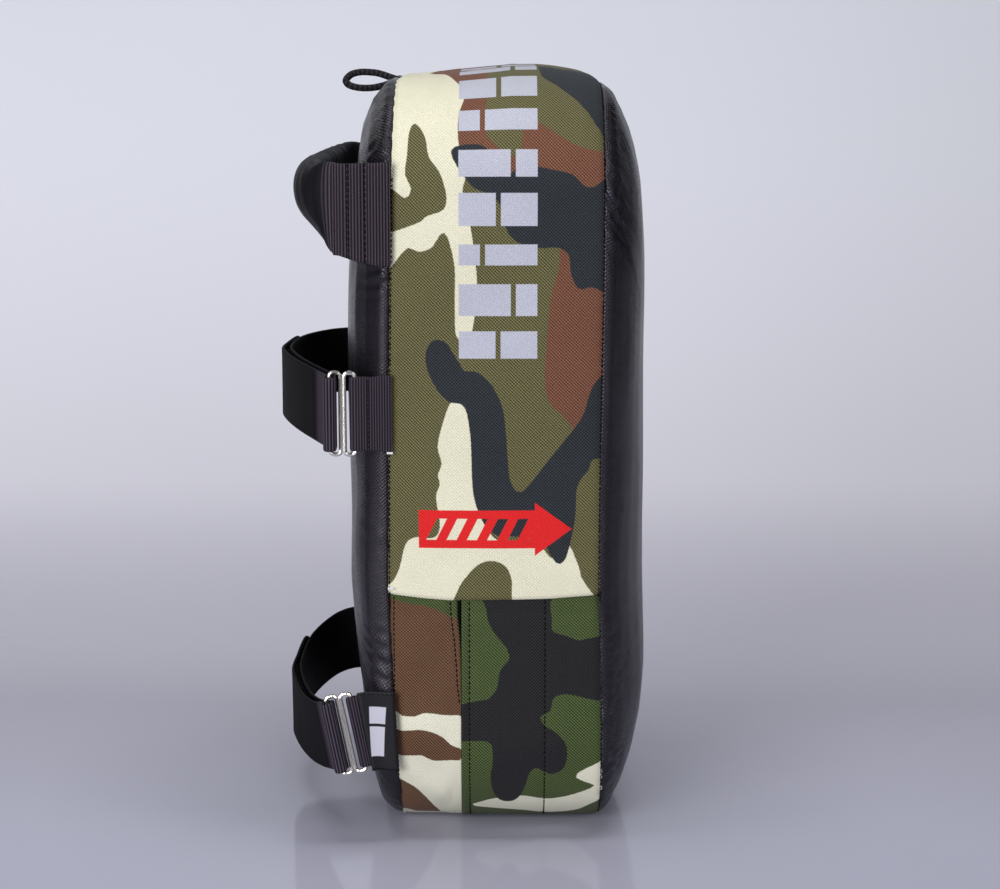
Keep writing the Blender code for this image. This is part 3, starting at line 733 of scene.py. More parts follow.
def camo_layers(patches, x, around):
    """Signed distances to each kind of patch. The far half repeats the near one, pushed about so that it differs."""
    near = home(around)
    t = np.mod(around - START, AROUND)
    away = np.where(t > AROUND / 2, fade(np.minimum(t - AROUND / 2, AROUND - t), 0, 90), 0)
    x_at = x + away * 16 * np.sin(near / 47)
    near = near + away * 22 * np.sin(x / 31 + 1)
    layers = {}
    for kind, outlines in patches.items():
        inside = [signed_inside(x_at, near, outline) for outline in outlines]
        layers[kind] = np.max([np.full(x_at.size, -50.0)] + inside, 0)
    return layers


# ---------------------------------------------------------------- the cover


def swell_field():
    """How a stuffed cover of this shape swells: the whole skin is inflated as cloth held at its seams."""
    columns = 200
    around = START + np.arange(columns) * AROUND / columns
    shares = np.array([0.93, 0.8, 0.65, 0.5, 0.37, 0.25, 0.16, 0.1, 0.06, 0.03, 0.0])
    rows = [dish_point(1, share, around) for share in shares]
    rows += [strip_point(share, around) for share in np.linspace(0.9, -0.9, 19)]
    rows += [dish_point(-1, share, around) for share in shares[::-1]]
    points = np.stack(rows)
    faces = grid_faces(len(rows), columns)[2].reshape(-1, 4).tolist()
    faces += cap_faces(0, columns) + cap_faces((len(rows) - 1) * columns, columns)
    skin = new_mesh("cover_blank", points.reshape(-1, 3), faces)
    outward_normals(skin.data)
    remesh = skin.modifiers.new("even", "REMESH")
    remesh.mode = "VOXEL"
    remesh.voxel_size = SWELL_VOXEL * MM
    graph = bpy.context.evaluated_depsgraph_get()
    even = bpy.data.meshes.new_from_object(skin.evaluated_get(graph))
    bpy.data.objects.remove(skin, do_unlink=True)
    cover = bpy.data.objects.new("cover_cloth", even)
    bpy.context.scene.collection.objects.link(cover)
    rest = np.zeros(len(even.vertices) * 3)
    even.vertices.foreach_get("co", rest)
    rest = rest.reshape(-1, 3)
    seams = KDTree(2 * columns)
    for i, point in enumerate(np.concatenate([dish_point(1, 0.0, around), dish_point(-1, 0.0, around)]) * MM):
        seams.insert(point, i)
    seams.balance()
    away = np.array([seams.find(point)[2] for point in rest]) / MM
    held = cover.vertex_groups.new(name="held")
    slack = cover.vertex_groups.new(name="slack")
    for i, (distance, height) in enumerate(zip(away, rest[:, 2])):
        held.add([i], 1.0 if distance < 4 or height < 2 * MM else 0.0, "REPLACE")
        slack.add([i], float(1 - fade(distance, 6, 34)), "REPLACE")
    cloth = cover.modifiers.new("stuffed", "CLOTH")
    settings = cloth.settings
    settings.quality = 5
    settings.mass = 0.25
    settings.tension_stiffness = settings.compression_stiffness = 25
    settings.bending_stiffness = 0.4
    settings.use_pressure = True
    settings.uniform_pressure_force = SWELL_PRESSURE
    settings.vertex_group_mass = "held"
    settings.vertex_group_shrink = "slack"
    settings.shrink_min = 0.0
    settings.shrink_max = -SEAM_SLACK
    settings.effector_weights.gravity = 0
    for number in range(1, SWELL_FRAMES + 1):
        bpy.context.scene.frame_set(number)
    graph = bpy.context.evaluated_depsgraph_get()
    after = np.zeros(len(even.vertices) * 3)
    cover.evaluated_get(graph).data.vertices.foreach_get("co", after)
    moved = (after.reshape(-1, 3) - rest) / MM
    bpy.context.scene.frame_set(1)
    bpy.data.objects.remove(cover, do_unlink=True)
    size = np.linalg.norm(moved, axis=1, keepdims=True)
    moved *= SWELL_SHARE * np.minimum(1, SWELL_CAP / np.maximum(size, 1e-9))
    tree = KDTree(len(rest))
    for i, point in enumerate(rest):
        tree.insert(point / MM, i)
    tree.balance()
    return tree, moved


SWELL_VOXEL, SWELL_PRESSURE, SWELL_FRAMES = 5, 4, 20
SEAM_SLACK = 0.07  # how much longer the cloth beside a seam is than its place, so that it puckers
SWELL_CAP = 5.0
SWELL_SHARE = 0.3  # the seams' outlines are those of the stuffed pad already, so only this share is added


def swell(points, from_seam):
    """The points after the stuffing has swollen the cover, which is held at its seams."""
    if FIELD is None:
        return points
    tree, moved = FIELD
    result = points.reshape(-1, 3).copy()
    for i, point in enumerate(result):
        found = tree.find_n(Vector(point), 5)
        weights = np.array([1 / (f[2] + 0.8) ** 2 for f in found])
        result[i] += (weights[:, None] * moved[[f[1] for f in found]]).sum(0) / weights.sum()
    free = fade(from_seam, 2, 16)[..., None]
    return points + (result.reshape(points.shape) - points) * free


FIELD = swell_field()

COLUMNS = 550
PANEL_SHARES = np.array(
    [0, 0.006, 0.014, 0.024, 0.036, 0.05, 0.066, 0.084, 0.105, 0.13, 0.16, 0.19, 0.225, 0.26, 0.3, 0.345, 0.39,
     0.44, 0.49, 0.545, 0.6, 0.66, 0.72, 0.79, 0.86, 0.93]
)
# How strongly each panel puckers beside its seam, by distance round.
STRIKE_PUCKER = ((-40, 0.5), (20, 0.9), (60, 1.4), (110, 1.2), (140, 0.7), (180, 0.4), (280, 0.4), (312, 0.9),
                 (336, 1.7), (362, 1.6), (382, 0.9), (420, 0.5), (475, 0.7))
BACK_PUCKER = ((-40, 0.5), (20, 0.8), (60, 1.0), (84, 2.2), (110, 1.2), (135, 0.5), (180, 0.4), (285, 0.6), (306, 2.2),
               (330, 1.2), (360, 2.0), (385, 0.8), (475, 0.8))


# Single folds beside a seam: distance round, slant, width, height, reach inwards.
STRIKE_CREASES = ((346, -1.2, 3.2, 2.6, 11), (333, -0.5, 2.6, 1.5, 8), (358, -0.2, 2.6, 1.5, 8),
                  (321, -0.6, 2.6, 1.1, 7),
                  (66, 0.5, 3.0, 1.3, 8), (40, 0.3, 2.6, 1.3, 8))
BACK_CREASES = ((373, -0.3, 2.4, 1.3, 9), (352, 0.5, 2.6, 1.5, 10), (366, 0.2, 2.4, 1.0, 7), (300, 0.4, 3.0, 1.3, 9),
                (82, -0.6, 3.2, 1.9, 11), (100, 0.5, 2.6, 1.0, 8), (162, 0.3, 3.0, 0.9, 8))


def creased(creases, near, run):
    total = 0.0
    for place, slant, width, height, reach in creases:
        off = (near - place - slant * run) / width
        total = total + height * (np.exp(-(off**2)) - 0.8 * np.exp(-((off + 1.3) ** 2))) * np.exp(-run / reach)
    return total * (1 - np.exp(-run / 1.2))


def dents(seed, y, z):
    """Wide, shallow unevenness over a face."""
    random = np.random.default_rng(RNG_SEED + seed)
    total = 0.0
    for _ in range(6):
        length, heading, phase = random.uniform(55, 130), random.uniform(0, math.pi), random.uniform(0, 2 * math.pi)
        total = total + np.sin(2 * math.pi * (y * math.cos(heading) + z * math.sin(heading)) / length + phase)
    return total / 3


def leather_panel(name, side, seed, strength, creases):
    around = (START + np.arange(COLUMNS) * AROUND / COLUMNS)[None, :]
    shares = PANEL_SHARES[:, None]
    points = dish_point(side, shares, around)
    run = np.cumsum(np.concatenate([np.zeros((1, COLUMNS)), np.linalg.norm(np.diff(points, axis=0), axis=2)]), 0)
    points = swell(points, run)
    normal = facing(points, ring=True)
    near = home(around)
    fine, broad = Ripples(seed, 26, 9, 9), Ripples(seed + 1, 160, 50, 5)
    folds = fine.at(around, run)
    ridged = 1.1 - np.abs(folds) * 1.6
    ridged = np.where(ridged < 0, ridged * fade(run, 1.5, 6), ridged)  # no valley lays the cloth's edge bare
    reach = 6 + 12 * np.clip(0.5 + 0.6 * broad.at(around), 0, 1)
    depth = table(strength, near) * np.exp(-run / reach) * (1 - np.exp(-run / 1.6))
    out = depth * ridged + 0.4 * broad.at(around, run * 2) * fade(run, 5, 40) * (1 - fade(shares, 0.15, 0.45))
    out += 0.3 * dents(seed, points[..., 1], points[..., 2]) * fade(run, 10, 45)
    out += creased(creases, near, run)
    out -= 1.5 * np.exp(-((run / 1.7) ** 2))
    settled = fade(points[..., 2], 0.0, 6.0)
    out = np.where(out < 0, out, out * settled)
    points = points + normal * out[..., None]
    inward = strip_point(side * 1.0, around, -4.0)
    inward[..., 0] = points[0, :, 0] + side * 0.35
    points[..., 2] = np.maximum(points[..., 2], 0.05)
    points = np.concatenate([inward, points])
    points[1, :, 0] += side * 0.25
    run = np.concatenate([-4 * np.ones((1, COLUMNS)), run])
    chart = np.stack([run, np.broadcast_to(around, run.shape)], -1)
    item = grid_object(name, points, chart, ring=True, closed_inside=True, layers={"inward": run})
    face = item.data.uv_layers.new(name="face")
    corner = np.zeros(len(item.data.loops), np.int32)
    item.data.loops.foreach_get("vertex_index", corner)
    flat = points.reshape(-1, 3)[:, [1, 2]] * MM
    face.data.foreach_set("uv", flat[corner].astype(np.float32).ravel())
    return solid(item, LEATHER), points


def across_positions(count_step=2.2, total=108.0):
    """Shares across the strip, closer together beside its two edges."""
    edge = np.array([0, 0.7, 1.5, 2.4, 3.6, 5.2, 7.2])
    middle = np.linspace(9.4, total - 9.4, int(round((total - 18.8) / count_step)))
    place = np.concatenate([edge, middle, total - edge[::-1]])
    return place / total * 2 - 1


TUCK = 2.6  # how deep the strips turn in at the seams
# How far into the dark patches the turned-in edges are set, so that they are painted dark as painted shade.
TUCK_PAINTED_SHADE = 30.0


def cloth_strip(name, shares, around, lift, patches, seed, tuck_left=True, tuck_right=True, wrinkle=None,
                shaded_from=None):
    """A part of the cloth strip, from shares across and distances round, both as grids."""
    points = strip_point(shares, around, 0.0)
    x = points[..., 0]
    to_seam = np.minimum(x - table(BACK_SEAM, points[..., 2]), table(STRIKE_SEAM, points[..., 2]) - x)
    points = swell(points, to_seam)
    normal = facing(points, ring=False)
    ny, nz = rim(around)[2:]
    normal = np.stack(np.broadcast_arrays(np.zeros_like(points[..., 0]), ny, nz), -1) * 0.5 + normal * 0.5
    normal /= np.linalg.norm(normal, axis=-1, keepdims=True)
    x = points[..., 0]
    fine, broad = Ripples(seed + 20, 22, 8, 8), Ripples(seed + 21, 120, 45, 5)
    out = lift - 1.5 * np.exp(-((to_seam / 1.8) ** 2))
    out = out + 0.32 * fine.at(around, to_seam) * np.exp(-to_seam / 7)
    out = out + 0.3 * broad.at(around, x) * fade(to_seam, 4, 20)
    if wrinkle is not None:
        out = out + wrinkle(x, around)
    floor = fade(points[..., 2], 0.0, 5.0)
    out = np.where(out > 0, out * floor, out)
    points = points + normal * out[..., None]
    chart = np.stack(np.broadcast_arrays(x, around + 0 * x), -1)
    if tuck_left:
        points, chart = np.concatenate([points[:1] - normal[:1] * TUCK, points]), np.concatenate([chart[:1], chart])
    if tuck_right:
        points, chart = np.concatenate([points, points[-1:] - normal[-1:] * TUCK]), np.concatenate([chart, chart[-1:]])
    points[..., 2] = np.maximum(points[..., 2], 0.05)
    layers = camo_layers(patches, chart[..., 0], chart[..., 1])
    tucked = np.zeros(points.shape[:2], bool)
    tucked[0], tucked[-1] = tuck_left, tuck_right
    for kind, values in layers.items():  # what turns in at the seams gets the dark patch colour as painted shade
        values[tucked.ravel()] = TUCK_PAINTED_SHADE if kind == "dark" else -TUCK_PAINTED_SHADE
    if shaded_from is not None:  # the part that lies under the other flap gets the dark patch colour, painted shade in the gap between the flaps
        under_flap_shade = (chart[..., 0] - shaded_from[None, :] - 0.2).ravel()
        layers = {kind: np.maximum(values, under_flap_shade) if kind == "dark" else np.minimum(values, -under_flap_shade)
                  for kind, values in layers.items()}
    item = grid_object(name, points, chart, layers=layers)
    solid(item, CLOTH)
    return item, points, normal


def fold_round(shares, around):
    return np.broadcast_arrays(shares[:, None], around[None, :])


def hem_line(x):
    """Height of the upper strip's hem, which dips across the middle."""
    return table(((-57, 136.1), (-40, 134.2), (-25, 133.1), (3, 133.4), (25, 133.8), (42, 134.9), (56, 135.6)), x)


CAMO_UPPER = camo_finish("upper_camo", srgb(100, 96, 63), srgb(117, 76, 58), srgb(230, 227, 202), srgb(42, 47, 52),
                         srgb(100, 96, 63), True)
CAMO_LOWER = camo_finish("lower_camo", srgb(70, 84, 46), srgb(98, 70, 50), srgb(228, 226, 206), srgb(33, 33, 36),
                         srgb(98, 70, 50), False)
BLACK_LEATHER = leather_finish("black_leather")
RIB, WIDE_RIB = 1.35, 1.5
# The lighter colour of each webbing is the painted highlight on its ribs' crests.
WEBBING = webbing_finish("black_webbing", srgb(9, 8, 10), srgb(90, 80, 96), RIB * MM)
WIDE_WEBBING = webbing_finish("handle_webbing", srgb(10, 8, 11), srgb(96, 84, 98), WIDE_RIB * MM, 0.0012)
THREAD = plain_cloth_finish("black_thread", srgb(6, 6, 7), srgb(30, 28, 33), 0.7, 3000, 0.0001)
WHITE_THREAD = plain_cloth_finish("white_thread", srgb(225, 224, 230), srgb(250, 250, 252), 0.6, 3000, 0.0001)
HOOK = plain_cloth_finish("hook_tape", srgb(10, 10, 12), srgb(34, 32, 37), 0.7, 1800, 0.0005)
LOOP = plain_cloth_finish("loop_tape", srgb(11, 10, 13), srgb(32, 30, 35), 0.9, 900, 0.0006)
FIRM_FOAM = plain_cloth_finish("firm_foam", srgb(78, 78, 84), srgb(104, 104, 110), 0.9, 500, 0.0004)
SOFT_FOAM = plain_cloth_finish("soft_foam", srgb(196, 190, 172), srgb(216, 210, 194), 0.9, 500, 0.0004)
THIN_FOAM = plain_cloth_finish("thin_foam", srgb(112, 112, 118), srgb(138, 138, 144), 0.9, 500, 0.0004)


def upper_cloth():
    shares = across_positions()
    count = int(round((2 * (TOP - HEM)) / 2.2))
    progress = np.linspace(0, 1, count)
    even = HEM + progress * 2 * (TOP - HEM)
    shares_grid, around = fold_round(shares, even)
    x = strip_point(shares_grid, around)[..., 0]
    hem = hem_line(x) - 1.2 - HEM
    close_near = 1 - fade(around, HEM, HEM + 40)
    close_far = 1 - fade(2 * TOP - around, HEM, HEM + 40)
    around = around + hem * close_near - hem * close_far
    edge = np.minimum(np.arange(count), np.arange(count)[::-1])[None, :]
    lift = np.where(edge < 5, 0.55, 0.55 * np.exp(-((edge - 5) * 2.2 / 9.0) ** 2))
    item, points, normal = cloth_strip("upper_cloth", shares_grid, around, lift, UPPER_PATCHES, seed=1)
    finished(item, CAMO_UPPER, "pad", "camo_cloth", "upper_gusset")
    return points, normal


def rear_wrinkle(x, around):
    """Slack folds in the rear flap."""
    a = np.sin((around + 0.7 * x) / 5.2 + 1.5 * np.sin(around / 30.0))
    b = np.sin((around - 0.9 * x) / 8.0 + 2.0)
    return (0.55 * a + 0.6 * b) * fade(x, -56, -47) * (1 - fade(x, -29, -24))


FLAP_EDGE, TONGUE_EDGE = -19.0, 26.0
REAR_EDGE = ((-150, -19.4), (95, -19.5), (108, -20.0), (120, -21.4), (131, -21.5))  # it drifts back towards the hem
REAR_ROW_FROM = 77.0  # below this height the stitches lie under the front flap
REAR_ROW = ((77, -0.8), (87, -1.8), (100, -2.4), (113, -2.8), (131, -3.5))  # the stitches, from the flap's edge


def lower_arounds(step):
    count = int(round(2 * (HEM - START) / step))
    return np.linspace(2 * START - HEM, HEM, count)


def flap_grid(xs, step=2.2):
    """A grid over the lower strip at these X, running up to the upper hem on both sides."""
    even = lower_arounds(step)
    xs = np.asarray(xs, float)
    x_grid, around = (xs, np.broadcast_to(even, xs.shape)) if xs.ndim == 2 else fold_round(xs, even)
    top = hem_line(x_grid) + 2.0 - HEM
    around = around + top * fade(around, HEM - 40, HEM) - top * fade(-(around - 2 * START), HEM - 40, HEM)
    z = rim(around)[1]
    # The outer columns lie on the seams themselves, which aren't straight.
    x_grid = np.where(x_grid < -54.9, table(BACK_SEAM, z), np.where(x_grid > 54.9, table(STRIKE_SEAM, z), x_grid))
    return share_of_x(x_grid, around), around


def below_hem(around):
    """How far the lower strip's ends sink to pass under the upper hem."""
    edge = HEM - np.maximum(around, 2 * START - around)
    return -1.5 * (1 - fade(edge, 1, 11))


def rear_flap():
    edge = np.array([-55, -54.3, -53.5, -52.6, -51.4, -50])
    inner = np.concatenate([np.arange(-24.5, -8, 1.8),
                            [-6.5, -5.5, -4.6, -3.7, -2.9, -2.0, -1.2, -0.5, 0, 0.5, 1.0, 1.8, 3.5]])
    low = np.concatenate([edge, np.full(inner.size, 0.0), np.arange(-10, TONGUE_EDGE + 1, 6.0)])
    even = lower_arounds(2.2)
    drift = table(REAR_EDGE, np.maximum(even, 2 * START - even))
    xs = np.repeat(low[:, None], even.size, 1)
    xs[edge.size:edge.size + inner.size] = inner[:, None] + drift[None, :]
    shares, around = flap_grid(xs)
    x = strip_point(shares, around)[..., 0]
    past = x - drift[None, :]
    near = np.maximum(even, 2 * START - even)
    sewn = table(REAR_ROW, near)
    ridge = 0.55 * np.exp(-(((past - sewn / 2) / 1.3) ** 2)) - 0.45 * np.exp(-(((past - sewn) / 0.9) ** 2))
    ridge = ridge * fade(near, REAR_ROW_FROM - 12, REAR_ROW_FROM + 8)[None, :]
    lift = ridge - 4.8 * fade(past, 0, 2.0) + below_hem(around)
    item, points, normal = cloth_strip("rear_flap", shares, around, lift, REAR_PATCHES, seed=5,
                                       tuck_right=False, wrinkle=rear_wrinkle, shaded_from=drift)
    finished(item, CAMO_LOWER, "pad", "camo_cloth", "lower_gusset_rear")
    band = points[1 + edge.size:1 + edge.size + inner.size]
    row = np.stack([[np.interp(sewn[j], inner, band[:, j, k]) for k in range(3)] for j in range(even.size)])
    sides = (np.flatnonzero(even > REAR_ROW_FROM), np.flatnonzero(2 * START - even > REAR_ROW_FROM))
    return points, normal, [(row[side], normal[edge.size + 9][side]) for side in sides]


def front_flap():
    edge = np.array([50, 51.4, 52.6, 53.5, 54.3, 55])
    xs = np.concatenate([[FLAP_EDGE, FLAP_EDGE + 0.5, FLAP_EDGE + 1.1, FLAP_EDGE + 2, -15.8, -15, -14.2],
                         np.arange(-12, 23, 2.1),
                         [23.6, 24.5, 25.4], np.arange(27.5, 49, 2.1), edge])
    shares, around = flap_grid(xs)
    x = strip_point(shares, around)[..., 0]
    lift = 0.75 * (1 - fade(x, FLAP_EDGE, FLAP_EDGE + 5)) + below_hem(around)
    lift = lift - 0.35 * np.exp(-(((x + 15) / 0.9) ** 2)) - 0.35 * np.exp(-(((x - 24.5) / 0.9) ** 2))
    item, points, normal = cloth_strip("front_flap", shares, around, lift, FRONT_PATCHES, seed=9, tuck_left=False)
    finished(item, CAMO_LOWER, "pad", "camo_cloth", "lower_gusset_front")
    return points, normal, x


def closure_tape(name, depth, material, slot, node):
    xs = np.linspace(-14, 23, 14)
    shares, around = flap_grid(xs, 4.0)
    points = strip_point(shares, around, 1.8 * below_hem(around) - depth)
    chart = np.stack([points[..., 0], around], -1)
    finished(solid(grid_object(name, points, chart), 0.9), material, "pad", slot, node)


BACK_STITCHES_TO = 350.0


def cover():
    strike, strike_points = leather_panel("strike_leather", 1, 40, STRIKE_PUCKER, STRIKE_CREASES)
    back, back_points = leather_panel("back_leather", -1, 60, BACK_PUCKER, BACK_CREASES)
    finished(strike, BLACK_LEATHER, "pad", "leather", "strike_panel")
    finished(back, BLACK_LEATHER, "pad", "leather", "back_panel")
    upper, upper_normal = upper_cloth()
    rear, rear_normal, rear_rows = rear_flap()
    front, front_normal, front_x = front_flap()
    closure_tape("closure_hooks", 1.5, HOOK, "hook_tape", "closure_hook_tape")
    closure_tape("closure_loops", 2.8, LOOP, "loop_tape", "closure_loop_tape")
    # Stitches in the seams, then along the flaps. A tucked row shifts the strip's own rows by one.
    rows = [upper[-3], rear[2], front[-3]]
    normals = [upper_normal[-2], rear_normal[1], front_normal[-2]]
    # Above the handle the stitches of the back seam are out of sight under the leather.
    half = upper.shape[1] // 2
    shown = int(np.count_nonzero(upper[2, :half, 2] < BACK_STITCHES_TO))
    for side in (slice(0, shown), slice(upper.shape[1] - shown, None)):
        rows.append(upper[2][side])
        normals.append(upper_normal[1][side])
    for row, normal in rear_rows:
        rows.append(row)
        normals.append(normal)
    for wanted in (-15.0, 24.5):
        k = int(np.argmin(np.abs(front_x[:, 0] - wanted)))
        rows.append(front[k])
        normals.append(front_normal[k])
    thread = stitches("seam_stitches", rows, normals, radius=0.4, length=2.1, pitch=2.8, lift=0.28)
    finished(thread, THREAD, "pad", "camo_cloth")


def foam_slab(name, rows, material, slot, node):
    """A block of foam through rings of points, closed at both ends."""
    points = np.stack(rows)
    columns = points.shape[1]
    chart = np.stack([points[..., 1], points[..., 2]], -1)
    item = grid_object(name, points, chart, ring=True, closed_inside=True, middle=tuple(points.reshape(-1, 3).mean(0)))
    shape = bmesh.new()
    shape.from_mesh(item.data)
    rim_edges = [edge for edge in shape.edges if edge.is_boundary]
    bmesh.ops.contextual_create(shape, geom=rim_edges)
    bmesh.ops.recalc_face_normals(shape, faces=shape.faces)
    shape.to_mesh(item.data)
    shape.free()
    finished(item, material, "pad", slot, node)


def foam():
    around = START + np.arange(160) * AROUND / 160

    def ring(x, depth):
        y, z, ny, nz = rim(around)
        low = np.minimum(dome(-0.9 if x < 0 else 0.9, nz), 0) - depth
        return np.stack([np.full_like(y, x), y + ny * low, z + nz * low], -1)

    def dished(side, share):
        point = dish_point(side, share, around)
        seam = table(STRIKE_SEAM if side > 0 else BACK_SEAM, point[:, 2])
        point[:, 0] = seam + (point[:, 0] - seam) * 0.8 - side * 3.5
        return point

    inward = (0.12, 0.2, 0.35, 0.5, 0.7, 0.9)
    foam_slab("foam_front", [ring(18.3, 6), ring(46, 6), ring(50, 8)] + [dished(1, s) for s in inward],
              FIRM_FOAM, "firm_foam", "core_front")
    foam_slab("foam_middle", [ring(x, 6) for x in (-18, -10, 0, 10, 18)], SOFT_FOAM, "soft_foam", "core_mid")
    foam_slab("foam_back", [ring(-18.3, 6), ring(-46, 6), ring(-49, 8)] + [dished(-1, s) for s in inward],
              THIN_FOAM, "thin_foam", "core_back")


# ---------------------------------------------------------------- straps

STRAP_WIDTH = 38.0
TAIL_ROUND = 13.0
TACK_HEIGHT = 138.5  # of the white bar tack beside the hem
BAR_X, BAR_Y, STRAP_BAR_X = -73.2, -101.5, -86.2
SLIDE_X = (BAR_X + STRAP_BAR_X) / 2
STRAP_LINE = ((-83.6, -97), (-84.6, -90), (-91, -72), (-103.5, -36), (-113, 0), (-116, 26), (-112, 64), (-99, 91),
              (-84, 101.2), (-68, 101.2), (-55, 101.2))
MID_STRAP = (230.0, 0.0, 0.0, 0.0)  # height, sag, lean, and how far it bows out beyond the line
LOWER_STRAP = (60.0, 14.0, math.radians(11.5), -3.2)


def settle(points, height, sag, lean, bow):
    """Lets a level strap hang: it sags between its ends, and leans with the slide at the near end."""
    x, y, z = (points[..., k].copy() for k in range(3))
    across = np.clip(y / HALF_WIDTH, -1, 1)
    span = np.where(y > -90, np.maximum(0, 1 - across**2), 0.19 * fade(y, -100, -90))
    share = 1 - fade(y, -85, 30)
    share = np.where(x > BAR_X, np.minimum(share, 1 - 0.75 * fade(x, BAR_X, -55)), share)
    turn = lean * share
    flat_x, flat_z = x - bow * span - SLIDE_X, z - height
    return np.stack([
        SLIDE_X + flat_x * np.cos(turn) - flat_z * np.sin(turn),
        y,
        height + flat_x * np.sin(turn) + flat_z * np.cos(turn) - sag * span,
    ], -1)


def tape(name, line, width, thickness, hang, rib=1.7, relief=0.32, ribbed=None, edges=None):
    """A woven tape standing on edge whose middle follows a line in plan, with ribs across its length.

    ribbed gives the share of the ribs' relief along the tape, edges its lower and upper edge."""
    step = rib / 4 if relief else 2.0
    path, run = respaced(line, step)
    along = np.gradient(path, axis=0)
    along /= np.linalg.norm(along, axis=1, keepdims=True)
    left = np.stack([-along[:, 1], along[:, 0]], 1)
    up = np.array([-1, -0.985, -0.95, -0.9, -0.7, -0.45, -0.2, 0, 0.2, 0.45, 0.7, 0.9, 0.95, 0.985, 1])
    thick = np.array([0.3, 0.75, 1.05, 1.05, 1, 1, 1, 1, 1, 1, 1, 1.05, 1.05, 0.75, 0.3]) * thickness / 2
    ridge = (np.abs(np.cos(np.pi * run / rib)) - 0.6) * relief if relief else np.zeros_like(run)
    if ribbed is not None:
        ridge = ridge * ribbed(run, path)
    edge = np.where(np.abs(up) > 0.93, 0.4, 1.0)
    low, high = edges(run, path) if edges else (np.full_like(run, -width / 2), np.full_like(run, width / 2))
    heights = (low[:, None] + high[:, None]) / 2 + (high - low)[:, None] / 2 * up[None, :]
    sides = []
    for sign in (1, -1):
        out = sign * (thick[None, :] + ridge[:, None] * edge[None, :])
        x = path[:, 0:1] + left[:, 0:1] * out
        y = path[:, 1:2] + left[:, 1:2] * out
        z = hang[0] + heights
        sides.append(np.stack([x, y, z], -1))
    ring = np.concatenate([sides[0], sides[1][:, ::-1]], 1)
    points = settle(ring, *hang)
    chart = np.stack(np.broadcast_arrays(run[:, None], np.concatenate([heights, heights[:, ::-1]], 1)), -1)
    return tube_object(name, points, chart)


def between(line, low, high):
    return line[(line[:, 1] >= low) & (line[:, 1] <= high)]


def strap(prefix, hang):
    arch = spline(STRAP_LINE, 8)
    fold_y = BAR_Y - 2.5
    fold = arc((STRAP_BAR_X, fold_y), abs(STRAP_BAR_X - arch[0, 0]), 180, 360, 12)
    stub = np.array([(fold[0, 0] - 0.3, -92.0), (fold[0, 0], -98.5)])
    whole = np.concatenate([stub, fold, arch])
    webbing = tape(prefix + "_strap_webbing", whole, STRAP_WIDTH, 1.4, hang, rib=RIB,
                   ribbed=lambda run, path: 1 - fade(run, 22, 32))
    finished(webbing, STRAP_WEBBING, "pad", "webbing", prefix + "_strap")
    loop = tape(prefix + "_strap_loops", between(beside(arch, 1.5), -80, 90), STRAP_WIDTH - 6, 0.9, hang, relief=0)
    finished(loop, LOOP, "pad", "loop_tape", prefix + "_loop_tape")
    tail_body = prefix + "_tail_body"
    hooks = tape(prefix + "_strap_hooks", between(beside(arch, 2.8), -76, 34), STRAP_WIDTH - 6, 0.9, hang, relief=0)
    finished(hooks, HOOK, tail_body, "hook_tape", prefix + "_hook_tape")

    def ribs(run, path):
        return 1 - fade(path[:, 1], -78, -66)

    def rounded(run, path):
        away = np.clip(run[-1] - run, 0, TAIL_ROUND)
        inset = TAIL_ROUND - np.sqrt(TAIL_ROUND**2 - (TAIL_ROUND - away) ** 2)
        return -STRAP_WIDTH / 2 + inset, STRAP_WIDTH / 2 - inset

    lie = between(arch, -90.5, 74)
    tail_line = beside(lie, 4.4 - 1.3 * fade(lie[:, 1], 8, 42)[:, None])
    tail = tape(prefix + "_strap_tail", tail_line, STRAP_WIDTH, 1.6, hang, rib=RIB, ribbed=ribs, edges=rounded)
    finished(tail, TAIL_WEBBING, tail_body, "strap_tail", prefix + "_tail")
    tab(prefix, hang)
    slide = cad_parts[prefix + "_slide"]
    slide.data.materials.clear()
    slide.data.materials.append(CHROME)
    slide.data.polygons.foreach_set("use_smooth", np.ones(len(slide.data.polygons), bool))


